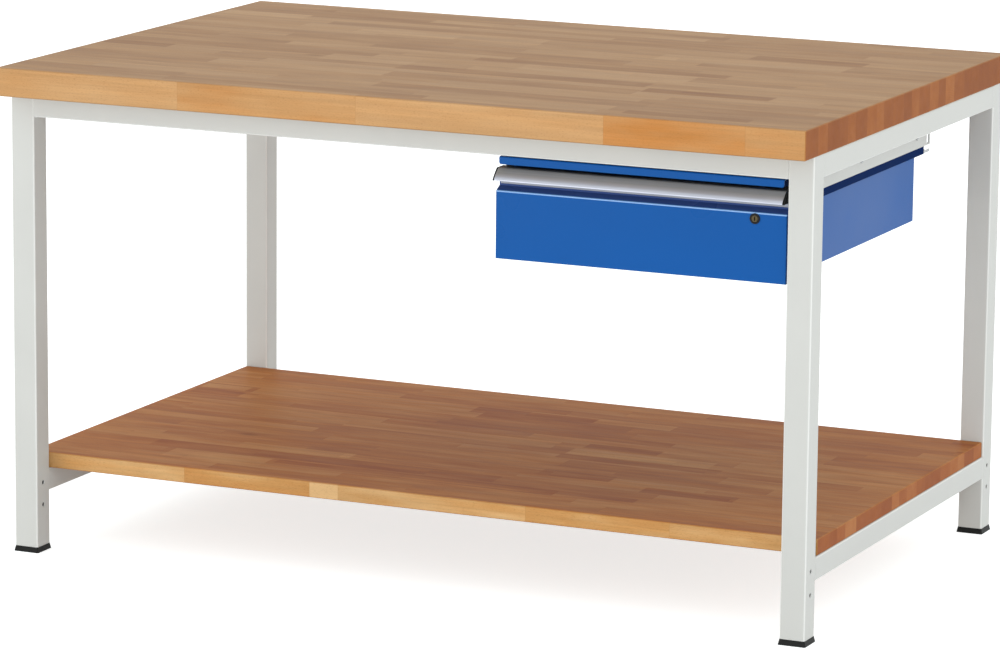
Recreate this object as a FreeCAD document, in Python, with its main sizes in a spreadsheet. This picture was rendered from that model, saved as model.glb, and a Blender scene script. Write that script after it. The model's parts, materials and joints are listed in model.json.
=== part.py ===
import FreeCAD, Part
import Sketcher
import math
import os

# Workbench: square tube frame, beech top and shelf, and a hung drawer on telescopic slides.
# Millimetres. Origin on the floor under the middle of the top, +X along the bench, -Y to the user.

driving = {
    # bench top and frame
    "top_length": 1500, "top_depth": 1000, "top_thickness": 50, "bench_height": 870,
    "top_edge": 1.5,
    "overhang_side": 2, "overhang_front": 48, "overhang_back": 20,
    "leg_width": 45, "leg_wall": 2, "leg_corner": 3,
    "rail_width": 40, "rail_wall": 2, "rail_corner": 3, "lower_rail_height": 103,
    "foot_height": 10, "foot_flare": 2, "foot_wall": 3, "foot_plug_height": 20, "foot_plug_gap": 0.2,
    "foot_corner": 1.8,
    "leg_hole_radius": 4, "leg_hole_height": 84, "leg_hole_spacing": 40,
    # shelf board
    "shelf_thickness": 28, "shelf_end_inset": 2.5, "shelf_front_gap": 13, "shelf_back_gap": 2.5,
    # wood screws and their holes
    "screw_radius": 2.4, "screw_head_radius": 4.8, "screw_head_height": 2.6, "screw_bite": 22,
    "screw_margin": 110, "access_radius": 6.5, "thread_gap": 0.05, "hole_gap": 0.3,
    # drawer housing and hangers
    "unit_gap": 14, "front_setback": 10, "housing_drop": 3, "housing_width": 510,
    "housing_tail": 6, "housing_sheet": 1.5, "strip_height": 13,
    "strip_corner": 4, "strip_bend": 2.5, "flange_setback": 34,
    "hanger_sheet": 2, "hanger_drop": 83, "hanger_flange": 30, "hanger_front_gap": 2,
    "hanger_overrun": 26, "slot_width": 11, "slot_length": 26, "slot_corner": 2, "slot_end": 6,
    "slot_foot": 3,
    # telescopic slides
    "slide_height": 45, "slide_thickness": 12.7, "slide_length": 630, "slide_wall": 1.2,
    "slide_drop": 9.5, "slide_setback": 36, "slide_tail": 40, "tail_height": 5,
    "outer_depth": 10, "middle_offset": 2.6, "middle_depth": 8.2, "inner_depth": 7.5, "lip_height": 1.5,
    "ball_radius": 1.5, "ball_gap": 0.2, "ball_pitch": 80, "outer_ball_depth": 5, "inner_ball_depth": 7.2,
    "cage_length": 200, "cage_start": 152, "cage_thickness": 0.6,
    "outer_cage_width": 6, "inner_cage_width": 4.6,
    "bolt_radius": 2, "bolt_head_radius": 3.5, "bolt_head_height": 1.1, "bolt_rise": 12,
    "bolt_margin": 40, "bolt_tail": 1, "nut_height": 3.2, "nut_radius": 4,
    # drawer
    "drawer_sheet": 1.2, "slide_rise": 141.5, "drawer_top_gap": 1.5, "drawer_back_gap": 2.5,
    "drawer_hem": 8, "drawer_bend": 1, "back_wall_drop": 9, "front_wall_drop": 12,
    "front_overlap": 5.5, "front_depth": 30, "face_height": 115, "recess_depth": 15, "recess_rise": 7.5,
    "front_drop": 7, "front_lip": 15, "front_edge": 1.2,
    "front_screw_margin": 110.5, "front_screw_inset": 7.5,
    # grip strip
    "grip_wall": 2, "grip_corner_depth": 3.6, "grip_reach": 14.2, "grip_fall": 18.3, "grip_toe": 1.5,
    "grip_bulge": 90, "grip_leg": 28, "grip_cap": 3, "rivet_margin": 60.5, "rivet_drop": 14,
    "rivet_radius": 1.6, "rivet_head": 3.2, "rivet_head_height": 1.0,
    # cam lock
    "lock_margin": 55.5, "lock_drop": 9.5, "lock_rim_radius": 9, "lock_rim_height": 2,
    "lock_barrel_radius": 8, "lock_barrel_length": 28, "lock_plug_radius": 5.5,
    "lock_running_gap": 0.05, "lock_collar": 1.2, "lock_collar_radius": 6.6, "lock_end_gap": 0.2,
    "lock_tail_width": 7, "lock_wall_hole": 10,
    "clip_thickness": 2, "clip_width": 24, "clip_foot": 13, "clip_rise": 6, "clip_groove": 1,
    "key_width": 1.6, "key_height": 7, "key_depth": 12,
    "cam_top_gap": 4.5, "cam_width": 16, "cam_thickness": 2, "cam_gap": 1.3, "cam_corner": 6,
    "cam_screw_radius": 2, "cam_screw_length": 10, "cam_screw_head": 4.5, "cam_screw_head_height": 2,
    "strike_width": 30, "strike_leg": 15, "strike_drop": 13.5, "strike_gap": 1,
}

doc = FreeCAD.newDocument("Workbench")
sheet = doc.addObject("Spreadsheet::Sheet", "Sizes")


class Size:
    """A length: the text that the sheet reads and its present value, kept together through sums."""

    def __init__(self, text, value):
        self.text = text
        self.value = value

    def __add__(self, other):
        other = as_size(other)
        return Size(f"({self.text} + {other.text})", self.value + other.value)

    def __sub__(self, other):
        other = as_size(other)
        return Size(f"({self.text} - {other.text})", self.value - other.value)

    def __mul__(self, factor):
        factor = as_size(factor)
        return Size(f"({self.text} * {factor.text})", self.value * factor.value)

    def __truediv__(self, factor):
        factor = as_size(factor)
        return Size(f"({self.text} / {factor.text})", self.value / factor.value)

    def __neg__(self):
        return Size(f"(0 - {self.text})", -self.value)


def as_size(number):
    return number if isinstance(number, Size) else Size(f"({number})", float(number))


def root(size):
    return Size(f"sqrt({size.text})", math.sqrt(size.value))


class Sizes:
    """The driving sizes, each under its own name."""


size = Sizes()
for row, (alias, number) in enumerate(driving.items(), start=1):
    sheet.set(f"A{row}", alias)
    sheet.set(f"B{row}", str(number))
    sheet.setAlias(f"B{row}", alias)
    setattr(size, alias, Size(f"Sizes.{alias}", number))
doc.recompute()

zero = as_size(0)
octagon = root(as_size(4) - root(as_size(8)))
nodes = []

# Sketch and feature helpers


def bind(thing, path, length):
    thing.setExpression(path, as_size(length).text)


def place(thing, x, y, z):
    for axis, length in zip("xyz", (x, y, z)):
        bind(thing, f"Placement.Base.{axis}", length)


def new_body(label):
    body = doc.addObject("PartDesign::Body", "Body")
    body.Label = label
    nodes.append(body)
    return body


def new_sketch(body, plane, offset=zero):
    """A sketch on one of the body's own planes; offset runs along +X, +Y or +Z."""
    sketch = body.newObject("Sketcher::SketchObject", "Sketch")
    support = [face for face in body.Origin.OriginFeatures if face.Role == plane + "_Plane"][0]
    sketch.AttachmentSupport = (support, [""])
    sketch.MapMode = "FlatFace"
    bind(sketch, "AttachmentOffset.Base.z", -offset if plane == "XZ" else offset)
    return sketch


def constrain(sketch, wanted):
    """Adds (kind, geometry, vertex, length) dimensions from the sketch's origin, each bound to the sheet."""
    made = [Sketcher.Constraint(kind, -1, 1, geometry, vertex, length.value)
            for kind, geometry, vertex, length in wanted]
    indices = sketch.addConstraint(made)
    for index, (kind, geometry, vertex, length) in zip(indices, wanted):
        bind_constraint(sketch, index, length)


def bind_constraint(sketch, index, length):
    name = f"c{index}"
    sketch.renameConstraint(index, name)
    bind(sketch, f"Constraints.{name}", length)


def draw_outline(sketch, points, bulges=()):
    """A closed anticlockwise outline; bulges gives the number of a side and its arc's radius."""
    bulges = dict(bulges)
    corners = [(as_size(x), as_size(y)) for x, y in points]
    edges = []
    for number, (x, y) in enumerate(corners):
        next_x, next_y = corners[(number + 1) % len(corners)]
        start = FreeCAD.Vector(x.value, y.value, 0)
        stop = FreeCAD.Vector(next_x.value, next_y.value, 0)
        if number in bulges:
            chord = stop - start
            radius = bulges[number].value
            inward = FreeCAD.Vector(-chord.y, chord.x, 0).normalize()
            centre = (start + stop) * 0.5 + inward * math.sqrt(radius ** 2 - chord.Length ** 2 / 4)
            circle = Part.Circle(centre, FreeCAD.Vector(0, 0, 1), radius)
            angles = [math.atan2(point.y - centre.y, point.x - centre.x) for point in (start, stop)]
            edges.append(Part.ArcOfCircle(circle, *angles))
        else:
            edges.append(Part.LineSegment(start, stop))
    sides = sketch.addGeometry(edges, False)
    following = sides[1:] + sides[:1]
    sketch.addConstraint([Sketcher.Constraint("Coincident", side, 2, after, 1)
                          for side, after in zip(sides, following)])
    wanted = []
    for side, (x, y) in zip(sides, corners):
        wanted += [("DistanceX", side, 1, x), ("DistanceY", side, 1, y)]
    constrain(sketch, wanted)
    for number, radius in bulges.items():
        index = sketch.addConstraint(Sketcher.Constraint("Radius", sides[number], radius.value))
        bind_constraint(sketch, index, radius)


def draw_circle(sketch, x, y, radius):
    x = as_size(x)
    y = as_size(y)
    centre = FreeCAD.Vector(x.value, y.value, 0)
    geometry = sketch.addGeometry(Part.Circle(centre, FreeCAD.Vector(0, 0, 1), radius.value), False)
    constrain(sketch, [("DistanceX", geometry, 3, x), ("DistanceY", geometry, 3, y)])
    index = sketch.addConstraint(Sketcher.Constraint("Radius", geometry, radius.value))
    bind_constraint(sketch, index, radius)


def draw_rectangle(sketch, left, right, bottom, top):
    draw_outline(sketch, [(left, bottom), (right, bottom), (right, top), (left, top)])


def draw_chamfered(sketch, left, right, bottom, top, corner):
    """A rectangle with its corners cut off at 45 degrees."""
    left, right, bottom, top = (as_size(edge) for edge in (left, right, bottom, top))
    draw_outline(sketch, [(left + corner, bottom), (right - corner, bottom), (right, bottom + corner),
                          (right, top - corner), (right - corner, top), (left + corner, top),
                          (left, top - corner), (left, bottom + corner)])


def draw_rounded(sketch, left, right, bottom, top, radius):
    """A rectangle whose four corners are tangent arcs of one radius."""
    left, right, bottom, top = (as_size(edge) for edge in (left, right, bottom, top))
    west, east, south, north, turn = (edge.value for edge in (left, right, bottom, top, radius))

    def line(x1, y1, x2, y2):
        start = FreeCAD.Vector(x1, y1, 0)
        return sketch.addGeometry(Part.LineSegment(start, FreeCAD.Vector(x2, y2, 0)), False)

    def arc(x, y, first_angle):
        circle = Part.Circle(FreeCAD.Vector(x, y, 0), FreeCAD.Vector(0, 0, 1), turn)
        return sketch.addGeometry(Part.ArcOfCircle(circle, first_angle, first_angle + math.pi / 2), False)

    sides = [
        line(west + turn, south, east - turn, south),
        line(east, south + turn, east, north - turn),
        line(east - turn, north, west + turn, north),
        line(west, north - turn, west, south + turn),
    ]
    corners = [
        arc(east - turn, south + turn, -math.pi / 2),
        arc(east - turn, north - turn, 0),
        arc(west + turn, north - turn, math.pi / 2),
        arc(west + turn, south + turn, math.pi),
    ]
    for number in range(4):
        sketch.addConstraint(Sketcher.Constraint("Tangent", sides[number], 2, corners[number], 1))
        following = sides[(number + 1) % 4]
        sketch.addConstraint(Sketcher.Constraint("Tangent", corners[number], 2, following, 1))
        direction = "Horizontal" if number % 2 == 0 else "Vertical"
        sketch.addConstraint(Sketcher.Constraint(direction, sides[number]))
    for corner in corners[1:]:
        sketch.addConstraint(Sketcher.Constraint("Equal", corners[0], corner))
    index = sketch.addConstraint(Sketcher.Constraint("Radius", corners[0], turn))
    bind_constraint(sketch, index, radius)
    constrain(sketch, [("DistanceY", sides[0], 1, bottom), ("DistanceX", sides[1], 1, right),
                       ("DistanceY", sides[2], 1, top), ("DistanceX", sides[3], 1, left)])


def draw_tube(sketch, width, wall, corner):
    half = width / 2
    draw_rounded(sketch, -half, half, -half, half, corner)
    inner = half - wall
    draw_rectangle(sketch, -inner, inner, -inner, inner)


def pad(body, sketch, length):
    """Adds material towards +X, +Y or +Z from the sketch's plane."""
    feature = body.newObject("PartDesign::Pad", "Pad")
    feature.Profile = sketch
    bind(feature, "Length", length)
    feature.Reversed = sketch.AttachmentSupport[0][0].Role == "XZ_Plane"
    doc.recompute()
    return feature


def cut(body, sketch, length=None, backwards=False):
    """Cuts towards +X, +Y or +Z, or both ways through everything if no length is given."""
    before = body.Shape.Volume
    feature = body.newObject("PartDesign::Pocket", "Pocket")
    feature.Profile = sketch
    if length is None:
        feature.Type = "ThroughAll"
        feature.SideType = "Symmetric"
    else:
        bind(feature, "Length", length)
        feature.Reversed = (sketch.AttachmentSupport[0][0].Role != "XZ_Plane") != backwards
    doc.recompute()
    if not body.Shape.Volume < before:
        raise RuntimeError(f"{body.Label}: a cut took nothing away")
    return feature


def edges_where(body, test):
    return [f"Edge{number}" for number, edge in enumerate(body.Tip.Shape.Edges, start=1) if test(edge)]


def runs_along(edge, axis):
    """True for a straight edge along an axis given as x, y or z."""
    start, stop = edge.Vertexes[0].Point, edge.Vertexes[-1].Point
    span = stop - start
    return span.Length > 1e-6 and abs(getattr(span, axis)) > 0.999 * span.Length


def near(value, target):
    return abs(value - target.value) < 1e-4


def soften(body, kind, amount, test):
    """Rounds (Fillet) or bevels (Chamfer) the edges that pass the test."""
    names = edges_where(body, test)
    if not names:
        raise RuntimeError(f"{body.Label}: no edge to soften")
    base = body.Tip
    feature = body.newObject("PartDesign::" + kind, kind)
    feature.Base = (base, names)
    bind(feature, "Radius" if kind == "Fillet" else "Size", amount)
    doc.recompute()
    if {"Invalid", "Error"} & set(feature.State):
        raise RuntimeError(f"{body.Label}: an edge could not be softened")
    return feature


turns = {
    "X": FreeCAD.Rotation(FreeCAD.Vector(0, 1, 0), 90),
    "-X": FreeCAD.Rotation(FreeCAD.Vector(0, 1, 0), -90),
    "Y": FreeCAD.Rotation(FreeCAD.Vector(1, 0, 0), -90),
    "-Y": FreeCAD.Rotation(FreeCAD.Vector(1, 0, 0), 90),
    "Z": FreeCAD.Rotation(),
}


def drill(body, radius, length, direction, spots):
    """A fastener's hole from each spot, kept to eight flats round its radius as there are many."""
    before = body.Shape.Volume
    for x, y, z in spots:
        hole = body.newObject("PartDesign::SubtractivePrism", "Hole")
        hole.Polygon = 8
        bind(hole, "Circumradius", radius * octagon)
        bind(hole, "Height", length)
        hole.Placement = FreeCAD.Placement(FreeCAD.Vector(), turns[direction])
        place(hole, x, y, z)
    doc.recompute()
    if not body.Shape.Volume < before:
        raise RuntimeError(f"{body.Label}: a hole took nothing away")


# Primitive helpers: rods and blocks that point along an axis, for fasteners, balls and the lock

def rod(radius, length, direction, x, y, z):
    solid = doc.addObject("Part::Cylinder", "Rod")
    bind(solid, "Radius", radius)
    bind(solid, "Height", length)
    solid.Placement = FreeCAD.Placement(FreeCAD.Vector(), turns[direction])
    place(solid, x, y, z)
    return solid


def block(x, y, z, length, width, height):
    solid = doc.addObject("Part::Box", "Block")
    bind(solid, "Length", length)
    bind(solid, "Width", width)
    bind(solid, "Height", height)
    place(solid, x, y, z)
    return solid


def prism(corners, radius, length, direction, x, y, z):
    """A rod with flat sides; radius reaches its corners."""
    solid = doc.addObject("Part::Prism", "Prism")
    solid.Polygon = corners
    bind(solid, "Circumradius", radius)
    bind(solid, "Height", length)
    solid.Placement = FreeCAD.Placement(FreeCAD.Vector(), turns[direction])
    place(solid, x, y, z)
    return solid


def threaded(blank, radius, length, direction, x, y, z):
    """The blank with a fastener's hole through it, whose flats touch the given radius."""
    return without(blank, prism(8, radius * octagon, length, direction, x, y, z))


def fastener(corners, head, head_height, radius, length, direction, x, y, z):
    """A head that sits on (x, y, z) and a shank that runs on from there in the given direction."""
    behind = {"X": (-head_height, zero, zero), "-X": (head_height, zero, zero),
              "Y": (zero, -head_height, zero), "-Y": (zero, head_height, zero),
              "Z": (zero, zero, -head_height)}[direction]
    start = [place_ + shift for place_, shift in zip((x, y, z), behind)]
    return joined([prism(corners, head, head_height, direction, *start),
                   prism(8, radius, length, direction, x, y, z)])


def joined(solids):
    fused = doc.addObject("Part::MultiFuse", "Joined")
    fused.Shapes = solids
    return fused


def without(solid, tool):
    cutter = doc.addObject("Part::Cut", "Cut")
    cutter.Base = solid
    cutter.Tool = tool
    return cutter


def name_node(label, thing):
    thing.Label = label
    nodes.append(thing)
    return thing


def group(label, solids):
    compound = doc.addObject("Part::Compound", "Group")
    compound.Links = solids
    return name_node(label, compound)


def spread(first, last, count):
    """Equal stations from first to last."""
    step = (last - first) / (count - 1)
    return [first + step * number for number in range(count)]


# Places that several pieces share

half_length = size.top_length / 2
half_depth = size.top_depth / 2
top_underside = size.bench_height - size.top_thickness
frame_side = half_length - size.overhang_side
frame_front = -half_depth + size.overhang_front
frame_back = half_depth - size.overhang_back
rail_end_x = frame_side - size.leg_width
rail_start_y = frame_front + size.leg_width
rail_end_y = frame_back - size.leg_width
rail_centre_x = frame_side - size.rail_width / 2
upper_rail_z = top_underside - size.rail_width / 2
lower_rail_z = size.lower_rail_height + size.rail_width / 2
shelf_underside = size.lower_rail_height + size.rail_width
sides = (("left", -1), ("right", 1))
depths = (("front", frame_front + size.leg_width / 2), ("back", frame_back - size.leg_width / 2))

front_rail_y = frame_front + size.rail_width / 2
back_rail_y = frame_back - size.rail_width / 2
long_rail_stations = spread(-rail_end_x + size.screw_margin, rail_end_x - size.screw_margin, 3)
side_rail_stations = spread(rail_start_y + size.screw_margin, rail_end_y - size.screw_margin, 2)
screw_hole_radius = size.screw_radius + size.hole_gap
pilot_radius = size.screw_radius + size.thread_gap


# Frame of square tube, and a plastic foot in each leg

def make_leg(label, side, x, y):
    """A square tube with two holes, round in its outer wall, one above the other near the foot."""
    body = new_body(label)
    sketch = new_sketch(body, "XY")
    draw_tube(sketch, size.leg_width, size.leg_wall, size.leg_corner)
    pad(body, sketch, top_underside - size.foot_height)
    holes = new_sketch(body, "YZ")
    heights = [size.leg_hole_height - size.foot_height + size.leg_hole_spacing * step for step in range(2)]
    for height in heights:
        draw_circle(holes, zero, height, size.leg_hole_radius)
    cut(body, holes, size.leg_width, backwards=side < 0)
    drill(body, size.leg_hole_radius, size.leg_width, "X" if side < 0 else "-X",
          [(zero, zero, height) for height in heights])
    place(body, x, y, size.foot_height)


def make_foot(label, x, y):
    """A flared skirt under the tube and a hollow plug inside it."""
    body = new_body(label)
    top_half = size.leg_width / 2
    floor_half = top_half + size.foot_flare
    skirt = []
    for half, height in ((floor_half, zero), (top_half, size.foot_height)):
        ring = new_sketch(body, "XY", height)
        draw_chamfered(ring, -half, half, -half, half, size.foot_corner)
        skirt.append(ring)
    loft = body.newObject("PartDesign::AdditiveLoft", "Skirt")
    loft.Profile = skirt[0]
    loft.Sections = [skirt[1]]
    loft.Ruled = True
    doc.recompute()
    plug_half = top_half - size.leg_wall - size.foot_plug_gap
    plug = new_sketch(body, "XY", size.foot_height)
    draw_rectangle(plug, -plug_half, plug_half, -plug_half, plug_half)
    pad(body, plug, size.foot_plug_height)
    hollow = new_sketch(body, "XY", size.foot_wall)
    hollow_half = plug_half - size.foot_wall
    draw_rectangle(hollow, -hollow_half, hollow_half, -hollow_half, hollow_half)
    cut(body, hollow, size.foot_height + size.foot_plug_height)
    place(body, x, y, zero)


def make_rail(label, plane, length, x, y, z, stations):
    """A square tube along X or Y with screw holes in its top wall and wider ones below them."""
    body = new_body(label)
    sketch = new_sketch(body, plane)
    draw_tube(sketch, size.rail_width, size.rail_wall, size.rail_corner)
    pad(body, sketch, length)
    half = size.rail_width / 2
    through = size.rail_wall + 2
    spots = [(station - x, zero) if plane == "YZ" else (zero, station - y) for station in stations]
    drill(body, screw_hole_radius, through, "Z", [(across, along, half - size.rail_wall - 1)
                                                  for across, along in spots])
    drill(body, size.access_radius, through, "Z", [(across, along, -half - 1) for across, along in spots])
    place(body, x, y, z)


for side_name, side in sides:
    for depth_name, leg_y in depths:
        leg_x = (frame_side - size.leg_width / 2) * side
        make_leg(f"{depth_name}_{side_name}_leg", side, leg_x, leg_y)
        make_foot(f"{depth_name}_{side_name}_foot", leg_x, leg_y)

for rail_name, rail_y in (("front_rail", front_rail_y), ("back_rail", back_rail_y)):
    make_rail(rail_name, "YZ", rail_end_x * 2, -rail_end_x, rail_y, upper_rail_z, long_rail_stations)

for side_name, side in sides:
    for level, rail_z in (("upper", upper_rail_z), ("lower", lower_rail_z)):
        make_rail(f"{side_name}_{level}_rail", "XZ", rail_end_y - rail_start_y,
                  rail_centre_x * side, rail_start_y, rail_z, side_rail_stations)


# Beech top and shelf, with pilot holes for the screws that come up through the rails

top_screws = [(x, y) for y in (front_rail_y, back_rail_y) for x in long_rail_stations]
top_screws += [(rail_centre_x * side, y) for side in (-1, 1) for y in side_rail_stations]
shelf_screws = [(rail_centre_x * side, y) for side in (-1, 1) for y in side_rail_stations]

housing_top = top_underside - size.rail_width - size.housing_drop
housing_half = size.housing_width / 2
unit_centre = frame_side - size.rail_width - size.unit_gap - size.hanger_sheet - housing_half
face_y = frame_front + size.front_setback
housing_length = size.slide_setback + size.slide_length + size.housing_tail
hanger_start = frame_front + size.rail_width + size.hanger_front_gap
hanger_length = face_y + housing_length + size.hanger_overrun - hanger_start
hanger_stations = spread(hanger_start + size.bolt_margin, hanger_start + hanger_length - size.bolt_margin, 3)
hanger_screw_x = housing_half - size.hanger_flange / 2
hanger_screws = [(unit_centre + hanger_screw_x * side, y) for side in (-1, 1) for y in hanger_stations]


def make_board(label, left, right, front, back, thickness, underside, screws):
    body = new_body(label)
    outline = new_sketch(body, "XY")
    draw_rectangle(outline, left, right, front, back)
    pad(body, outline, thickness)
    soften(body, "Chamfer", size.top_edge, lambda edge: True)
    drill(body, pilot_radius, size.screw_bite + 2, "Z", [(x, y, as_size(-1)) for x, y in screws])
    place(body, zero, zero, underside)


make_board("bench_top", -half_length, half_length, -half_depth, half_depth,
           size.top_thickness, top_underside, top_screws + hanger_screws)
shelf_side = frame_side - size.shelf_end_inset
make_board("shelf_board", -shelf_side, shelf_side, rail_start_y + size.shelf_front_gap,
           rail_end_y - size.shelf_back_gap, size.shelf_thickness, shelf_underside, shelf_screws)


def make_wood_screws(label, spots, seat, wall):
    """Pan-head screws pointing up: the head under the wall at height seat, the shank in the wood."""
    group(label, [fastener(8, size.screw_head_radius, size.screw_head_height, size.screw_radius,
                           wall + size.screw_bite, "Z", x, y, seat) for x, y in spots])


make_wood_screws("top_screws", top_screws, top_underside - size.rail_wall, size.rail_wall)
make_wood_screws("shelf_screws", shelf_screws, shelf_underside - size.rail_wall, size.rail_wall)
make_wood_screws("hanger_screws", hanger_screws, top_underside - size.hanger_sheet, size.hanger_sheet)


# Folded hangers under the top, with the drawer housing bolted between them

slide_z = housing_top - size.slide_drop - size.slide_height / 2
slide_start = face_y + size.slide_setback
bolt_z = slide_z + size.bolt_rise
bolt_stations = spread(slide_start + size.bolt_margin, slide_start + size.slide_length - size.bolt_margin, 3)
bolt_hole_radius = size.bolt_radius + size.hole_gap


def make_hanger(label, side):
    """An angle of sheet: a flange under the wood, a web down beside the housing, a slot at the back."""
    body = new_body(label)
    section = new_sketch(body, "XZ")
    inward = -size.hanger_flange * side
    web = size.hanger_sheet * side
    below = -size.hanger_sheet
    draw_outline(section, [(web, zero), (inward, zero), (inward, below), (zero, below),
                           (zero, -size.hanger_drop), (web, -size.hanger_drop)])
    pad(body, section, hanger_length)
    openings = new_sketch(body, "YZ")
    slot_back = hanger_length - size.slot_end
    slot_bottom = size.slot_foot - size.hanger_drop
    draw_chamfered(openings, slot_back - size.slot_width, slot_back, slot_bottom,
                   slot_bottom + size.slot_length, size.slot_corner)
    cut(body, openings)
    reach = size.hanger_sheet + 2
    drill(body, bolt_hole_radius, reach * 2, "X", [(-reach, y - hanger_start, bolt_z - top_underside)
                                                   for y in bolt_stations])
    drill(body, screw_hole_radius, reach, "Z", [(inward / 2, y - hanger_start, -reach + 1)
                                                for y in hanger_stations])
    place(body, unit_centre + housing_half * side, hanger_start, top_underside)


for side_name, side in sides:
    make_hanger(f"{side_name}_hanger", side)


def make_housing():
    """A shallow upturned tray: a top plate and two side flanges as deep as the slides."""
    body = new_body("drawer_housing")
    section = new_sketch(body, "XZ", size.flange_setback)
    inner = housing_half - size.housing_sheet
    bottom = -(size.slide_drop + size.slide_height)
    draw_outline(section, [(-housing_half, zero), (-housing_half, bottom), (-inner, bottom),
                           (-inner, -size.housing_sheet), (inner, -size.housing_sheet),
                           (inner, bottom), (housing_half, bottom), (housing_half, zero)])
    pad(body, section, housing_length - size.flange_setback)
    drill(body, bolt_hole_radius, size.housing_width + 2, "X",
          [(-housing_half - 1, y - face_y, bolt_z - housing_top) for y in bolt_stations])
    place(body, unit_centre, face_y, housing_top)


def make_strip():
    """The folded strip that shows above the drawer, with its flange welded to the tray."""
    body = new_body("housing_strip")
    sheet_size = size.housing_sheet
    section = new_sketch(body, "YZ", -housing_half)
    draw_outline(section, [(zero, -size.strip_height), (sheet_size, -size.strip_height),
                           (sheet_size, -sheet_size), (size.flange_setback, -sheet_size),
                           (size.flange_setback, zero), (zero, zero)])
    pad(body, section, size.housing_width)
    soften(body, "Fillet", size.strip_corner, lambda edge: runs_along(edge, "y")
           and near(edge.CenterOfMass.z, -size.strip_height))
    soften(body, "Fillet", size.strip_bend, lambda edge: runs_along(edge, "x")
           and near(edge.CenterOfMass.z, zero) and near(edge.CenterOfMass.y, zero))
    place(body, unit_centre, face_y, housing_top)


make_housing()
make_strip()

channel_half = housing_half - size.housing_sheet
bolt_grip = size.slide_wall + size.housing_sheet + size.hanger_sheet
bolts = []
nuts = []
for side in (-1, 1):
    outward = "X" if side > 0 else "-X"
    for y in bolt_stations:
        wall_x = unit_centre + (channel_half - size.slide_wall) * side
        nut_x = unit_centre + (housing_half + size.hanger_sheet) * side
        bolts.append(fastener(8, size.bolt_head_radius, size.bolt_head_height, size.bolt_radius,
                              bolt_grip + size.nut_height + size.bolt_tail, outward, wall_x, y, bolt_z))
        blank = prism(6, size.nut_radius, size.nut_height, outward, nut_x, y, bolt_z)
        nuts.append(threaded(blank, size.bolt_radius + size.thread_gap, size.nut_height,
                             outward, nut_x, y, bolt_z))
group("housing_bolts", bolts)
group("housing_nuts", nuts)


# Telescopic slides: outer member on the housing, middle member, inner member on the drawer.
# Depth runs from the housing's flange towards the drawer; height from the slide's middle.

outer_half = size.slide_height / 2
ball_space = (size.ball_radius + size.ball_gap) * 2
middle_half = outer_half - size.slide_wall - ball_space
inner_half = middle_half - size.slide_wall - ball_space
lip = size.lip_height + size.slide_wall
screw_stations = spread(slide_start + size.bolt_margin, slide_start + size.slide_length - size.bolt_margin, 3)


def channel(sketch, side, near_depth, far_depth, half, lip_drop):
    """A C section: the web at near_depth, flanges to far_depth, and lips turned in by lip_drop."""
    wall = size.slide_wall if far_depth.value > near_depth.value else -size.slide_wall
    shape = [(near_depth, -half), (far_depth, -half)]
    if lip_drop is not None:
        shape += [(far_depth, lip_drop - half), (far_depth - wall, lip_drop - half)]
        shape += [(far_depth - wall, size.slide_wall - half)]
    else:
        shape += [(far_depth, size.slide_wall - half)]
    shape += [(near_depth + wall, size.slide_wall - half)]
    mirrored = [(depth, -height) for depth, height in reversed(shape)]
    draw_outline(sketch, [(depth * -side, height) for depth, height in shape + mirrored])


def make_slide_member(label, side, near_depth, far_depth, half, lip_drop, length):
    body = new_body(label)
    section = new_sketch(body, "XZ")
    channel(section, side, near_depth, far_depth, half, lip_drop)
    pad(body, section, length)
    place(body, unit_centre + channel_half * side, slide_start, slide_z)
    return body


def make_ball(x, y, z):
    """A ball with few faces: what three eight-sided rods, one along each axis, have in common."""
    reach = size.ball_radius
    ball = doc.addObject("Part::MultiCommon", "Ball")
    ball.Shapes = [prism(8, reach, reach * 2, "X", x - reach, y, z),
                   prism(8, reach, reach * 2, "Y", x, y - reach, z),
                   prism(8, reach, reach * 2, "Z", x, y, z - reach)]
    return ball


def make_cage(label, side, depth, half, width):
    """Two retainer strips, above and below, each with its row of balls."""
    rows = []
    row_height = half - size.slide_wall - size.ball_radius - size.ball_gap
    x = unit_centre + (channel_half - depth) * side
    start = slide_start + size.cage_start
    for level in (-1, 1):
        z = slide_z + row_height * level
        strip = block(x - width / 2, start, z - size.cage_thickness / 2,
                      width, size.cage_length, size.cage_thickness)
        balls = [make_ball(x, start + size.cage_length / 2 + size.ball_pitch * number, z)
                 for number in (-1, 0, 1)]
        rows.append(joined([strip] + balls))
    group(label, rows)


for side_name, side in sides:
    outer = make_slide_member(f"{side_name}_outer_slide", side, zero, size.outer_depth, outer_half,
                              lip, size.slide_length + size.slide_tail)
    above_tail = new_sketch(outer, "XZ", size.slide_length)
    draw_rectangle(above_tail, -size.slide_thickness, size.slide_thickness,
                   size.tail_height - outer_half, outer_half + 1)
    cut(outer, above_tail, size.slide_tail + 1)
    drill(outer, bolt_hole_radius, size.slide_thickness * 2, "X",
          [(-size.slide_thickness, y - slide_start, size.bolt_rise) for y in bolt_stations])

    make_slide_member(f"{side_name}_middle_slide", side, size.middle_offset,
                      size.middle_offset + size.middle_depth, middle_half, lip, size.slide_length)

    inner = make_slide_member(f"{side_name}_inner_slide", side, size.slide_thickness,
                              size.slide_thickness - size.inner_depth, inner_half, None, size.slide_length)
    drill(inner, bolt_hole_radius, size.slide_thickness * 4, "X",
          [(-size.slide_thickness * 2, y - slide_start, zero) for y in screw_stations])

    make_cage(f"{side_name}_outer_cage", side, size.outer_ball_depth, outer_half, size.outer_cage_width)
    make_cage(f"{side_name}_inner_cage", side, size.inner_ball_depth, middle_half, size.inner_cage_width)


# Drawer: folded box, folded front with a recess, grip strip and lock

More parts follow.
